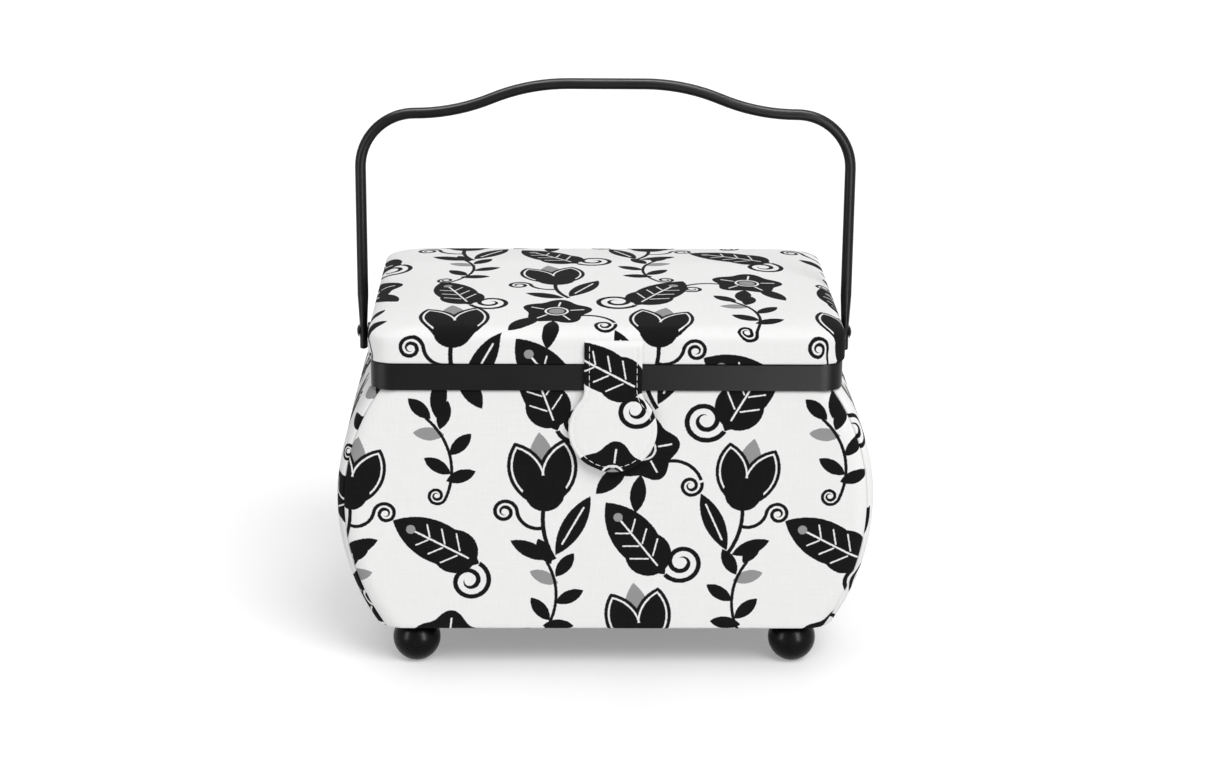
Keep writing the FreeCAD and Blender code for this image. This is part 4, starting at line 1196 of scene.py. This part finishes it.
class ClosingTabOperator(bpy.types.Operator):
    """Make the closing tab and its top stitching"""
    bl_idname = "sewing_box.closing_tab"
    bl_label = "Closing Tab"

    columns = 44
    root_top = 0.0114
    tuck = 0.0022
    print_shift = (0.1265, 0.0785)

    def execute(self, context):
        tab = settings_of(context).tab
        self.x, self.y, self.fold = TAB_JOINT["pos_m"]
        self.tab = tab
        self.radius = tab.paddle / 2
        self.neck = tab.neck / 2
        self.z_paddle = self.fold - tab.drop + self.radius
        self.rise = math.sqrt((self.radius + tab.flare) ** 2 - (self.neck + tab.flare) ** 2)
        self.z_flare = self.z_paddle + self.rise
        self.z_touch = self.z_paddle + self.rise * self.radius / (self.radius + tab.flare)
        piece = self.flap(printed_cloth_of(context))
        seam = stitches("tab_stitches", [self.stitch_line()], tab.stitch_length, tab.stitch_gap, tab.thread,
                        thread_finish())
        fold_start = (self.x, self.y, self.fold + 0.0014)
        fold_end = (self.x, self.y, self.fold - 0.0012)
        for part in (piece, seam):
            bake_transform(part)
        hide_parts("tab_root", "tab_flap")
        return {"FINISHED"}

    def half_width(self, z):
        if z >= self.z_flare:
            return self.neck
        if z >= self.z_touch:
            return self.neck + self.tab.flare - math.sqrt(self.tab.flare ** 2 - (self.z_flare - z) ** 2)
        return math.sqrt(max(0.0, self.radius ** 2 - (z - self.z_paddle) ** 2))

    def edge_distance(self, x, z):
        """How far inside its outline a point of the tab lies."""
        if z >= self.z_flare:
            return self.neck - abs(x)
        if z >= self.z_touch:
            return math.hypot(self.neck + self.tab.flare - abs(x), self.z_flare - z) - self.tab.flare
        return self.radius - math.hypot(x, z - self.z_paddle)

    def middle_y(self, x, z):
        """Middle layer: tucked into the lid's seam above, and a little bowed below."""
        tucked = self.tuck * smooth_step((z - self.fold - 0.0086) / (self.root_top - 0.0086))
        bowed = 0.0005 * smooth_step((self.fold - z) / 0.03) * (1 - (x / self.radius) ** 2)
        return self.y + tucked - bowed

    def half_thickness(self, x, z):
        """Rounded edges, and a groove pressed in by the stitches."""
        depth = max(0.0, self.edge_distance(x, z))
        soft = min(1.0, depth / 0.0012)
        groove = 0.00028 * math.exp(-((depth - self.tab.stitch_inset) / 0.0007) ** 2)
        return self.tab.thickness / 2 * math.sqrt(1 - (1 - soft) ** 2) - groove

    def flap(self, cloth):
        heights = [self.fold + self.root_top] + spread(self.fold + self.root_top, self.z_flare, 22)
        heights += spread(self.z_flare, self.z_touch, 34)
        tilt = math.asin((self.z_touch - self.z_paddle) / self.radius)
        heights += [self.z_paddle + self.radius * math.sin(a) for a in spread(tilt, math.radians(-89.4), 52)]
        points, uvs = [], []
        for z in heights:
            half = self.half_width(z)
            across = [half * math.sin(math.pi / 2 * (2 * i / (self.columns - 1) - 1)) for i in range(self.columns)]
            front = [(x, -1) for x in across]
            back = [(x, 1) for x in across[-2:0:-1]]
            for x, face in front + back:
                y = self.middle_y(x, z) + face * self.half_thickness(x, z)
                points.append((self.x + x, y, z))
                uvs.append((x + self.print_shift[0], z + self.print_shift[1]))
        loop = 2 * self.columns - 2
        faces = grid_faces(loop, len(heights), flip=True, closed=True)
        faces += [tuple(range(loop)), tuple(range(loop * len(heights) - 1, loop * (len(heights) - 1) - 1, -1))]
        return make_piece("closing_tab", points, faces, uvs, cloth)

    def stitch_line(self):
        """Line of the top stitching: down one side, round the paddle and up the other."""
        inset, flare = self.tab.stitch_inset, self.tab.flare
        side = [(self.neck - inset, z) for z in spread(self.fold + self.root_top - 0.003, self.z_flare, 30)]
        swing = math.atan2(self.rise, self.neck + flare)
        side += [(self.neck + flare - (flare + inset) * math.cos(a), self.z_flare - (flare + inset) * math.sin(a))
                 for a in spread(0.0, swing, 40)]
        side += [((self.radius - inset) * math.cos(a), self.z_paddle + (self.radius - inset) * math.sin(a))
                 for a in spread(swing, math.radians(-90), 60)]
        line = [(-x, z) for x, z in side] + side[-2::-1]
        return [(self.x + x, self.middle_y(x, z) - self.half_thickness(x, z) - 0.1 * self.tab.thread, z)
                for x, z in line]


class HardwareOperator(bpy.types.Operator):
    """Give the rigid pieces their finishes"""
    bl_idname = "sewing_box.hardware"
    bl_label = "Hardware Finishes"

    def execute(self, context):
        finishes = {
            "board": fibre_board(),
            "rail_wood": planed_softwood(),
            "black_lacquer": glossy_lacquer(),
            "black_plastic": moulded_plastic("black_plastic", (0.0036, 0.0036, 0.0038), 0.34, 0.12),
            "tray_plastic": moulded_plastic("tray_plastic", (0.42, 0.42, 0.415), 0.42, 0.4),
            "black_enamel": satin_enamel(),
            "nickel_steel": nickel_steel(),
        }
        for part in frame["record"]["subparts"]:
            node = frame["nodes"][part["node"]]
            if part["material_slot"] in finishes:
                node.data.materials.clear()
                node.data.materials.append(finishes[part["material_slot"]])
        return {"FINISHED"}


class StageOperator(bpy.types.Operator):
    """Set up the floor, the light and the camera"""
    bl_idname = "sewing_box.stage"
    bl_label = "Stage"

    key_direction = (0.33, -0.57, 0.75)
    # Each card's place, lean and turn in degrees, width and height, and share of the card strength
    cards = {
        "right_floor": ((0.31, -0.60, 0.012), (180.0, 0.0), (0.46, 0.50), 1.3),
        "left_floor": ((-0.62, -0.31, 0.012), (180.0, 0.0), (0.16, 0.40), 1.3),
        "left_strip": ((-0.92, -0.75, 0.36), (90.0, -50.8), (0.22, 0.72), 2.8),
        "right_strip": ((0.61, -0.99, 0.40), (90.0, 31.5), (0.24, 0.80), 4.4),
        "overhead": ((0.0, -0.05, 0.90), (0.0, 0.0), (0.80, 0.18), 8.0),
    }
    glossy_slots = ("black_lacquer", "black_plastic", "black_enamel")
    floor_half = 7.0
    floor_glow = 0.255
    sensor_width = 36.0

    def execute(self, context):
        stage = settings_of(context).stage
        scene = context.scene
        scene.view_settings.view_transform = "Standard"
        self.floor(stage)
        self.world(scene, stage)
        lamp = bpy.data.lights.new("key", "SUN")
        lamp.energy, lamp.angle = stage.key_strength, stage.key_size
        key = bpy.data.objects.new("key", lamp)
        key.rotation_euler = Vector(self.key_direction).to_track_quat("Z", "Y").to_euler()
        scene.collection.objects.link(key)
        glossy = bpy.data.collections.new("glossy_black")
        for part in frame["record"]["subparts"]:
            if part["material_slot"] in self.glossy_slots:
                glossy.objects.link(frame["nodes"][part["node"]])
        for name, layout in self.cards.items():
            card = self.card(scene, name, stage.card_strength, *layout)
            card.light_linking.receiver_collection = glossy
        camera = bpy.data.objects.new("camera", bpy.data.cameras.new("camera"))
        camera.data.lens, camera.data.sensor_width = stage.focal_length, self.sensor_width
        camera.data.clip_start, camera.data.clip_end = 0.05, 50.0
        camera.location = stage.camera_place
        aim = Euler((math.pi / 2 - stage.camera_tilt, 0.0, -stage.camera_turn)).to_matrix()
        camera.rotation_euler = (aim @ Matrix.Rotation(stage.camera_lean, 3, "Z")).to_euler()
        scene.collection.objects.link(camera)
        scene.camera = camera
        return {"FINISHED"}

    @staticmethod
    def card(scene, name, strength, place, angles, size, share):
        """Bright card that shows only in gloss."""
        lamp = bpy.data.lights.new(name, "AREA")
        lamp.shape, (lamp.size, lamp.size_y) = "RECTANGLE", size
        lamp.energy = math.pi * size[0] * size[1] * strength * share
        card = bpy.data.objects.new(name, lamp)
        card.location = place
        card.rotation_euler = (math.radians(angles[0]), 0.0, math.radians(angles[1]))
        card.visible_camera = card.visible_diffuse = card.visible_transmission = False
        scene.collection.objects.link(card)
        return card

    def floor(self, stage):
        """Pale floor that the camera sees as white, with the object's shadow."""
        size = self.floor_half
        points = [(-size, -size, 0.0), (size, -size, 0.0), (size, size, 0.0), (-size, size, 0.0)]
        finish = Finish("pale_floor")
        lift = finish.rays("Is Camera Ray", "Is Glossy Ray") * self.floor_glow
        glow = finish.node("ShaderNodeEmission", {}, {"Color": (1.0, 1.0, 1.0, 1.0), "Strength": lift})
        matt = finish.node("ShaderNodeBsdfPrincipled", {}, {"Base Color": stage.floor_colour, "Roughness": 0.35,
                                                            "Specular IOR Level": 0.25})
        both = finish.node("ShaderNodeAddShader", {}, {0: matt, 1: glow})
        finish.node("ShaderNodeOutputMaterial", {}, {"Surface": both})
        floor = make_piece("floor", points, [(0, 1, 2, 3)], [(x, y) for x, y, _ in points], finish.material)

    @staticmethod
    def world(scene, stage):
        """Light from all sides, seen as white."""
        scene.world = bpy.data.worlds.new("sky")
        scene.world.use_nodes = True
        tree = Tree(scene.world.node_tree)
        tree.tree.nodes.clear()
        direct = tree.rays("Is Camera Ray", "Is Glossy Ray", "Is Transmission Ray")
        strength = direct * (1.0 - stage.sky_strength) + stage.sky_strength
        sky = tree.node("ShaderNodeBackground", {}, {"Color": (1.0, 1.0, 1.0, 1.0), "Strength": strength})
        tree.node("ShaderNodeOutputWorld", {}, {"Surface": sky})


class SewingBoxPanel(bpy.types.Panel):
    """Steps and settings of the sewing box"""
    bl_idname = "VIEW3D_PT_sewing_box"
    bl_label = "Sewing Box"
    bl_space_type = "VIEW_3D"
    bl_region_type = "UI"
    bl_category = "Sewing Box"

    def draw(self, context):
        for operator in OPERATORS:
            self.layout.operator(operator.bl_idname)
        for group in ("body", "lid", "tab", "print", "stage"):
            section = self.layout.box()
            section.label(text=group.title())
            part = getattr(settings_of(context), group)
            for key in part.__annotations__:
                section.prop(part, key)


OPERATORS = (BodyClothOperator, LiningOperator, LidClothOperator, LidInsideOperator, ClosingTabOperator,
             HardwareOperator, StageOperator)
CLASSES = (BodySettings, LidSettings, TabSettings, PrintSettings, StageSettings, SewingBoxSettings,
           *OPERATORS, SewingBoxPanel)


def register():
    for cls in CLASSES:
        bpy.utils.register_class(cls)
    bpy.types.Scene.sewing_box = PointerProperty(type=SewingBoxSettings)


def unregister():
    del bpy.types.Scene.sewing_box
    for cls in reversed(CLASSES):
        bpy.utils.unregister_class(cls)


def main():
    """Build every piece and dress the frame."""
    register()
    for operator in OPERATORS:
        group, name = operator.bl_idname.split(".")
        getattr(getattr(bpy.ops, group), name)()


if __name__ == "__main__":
    main()
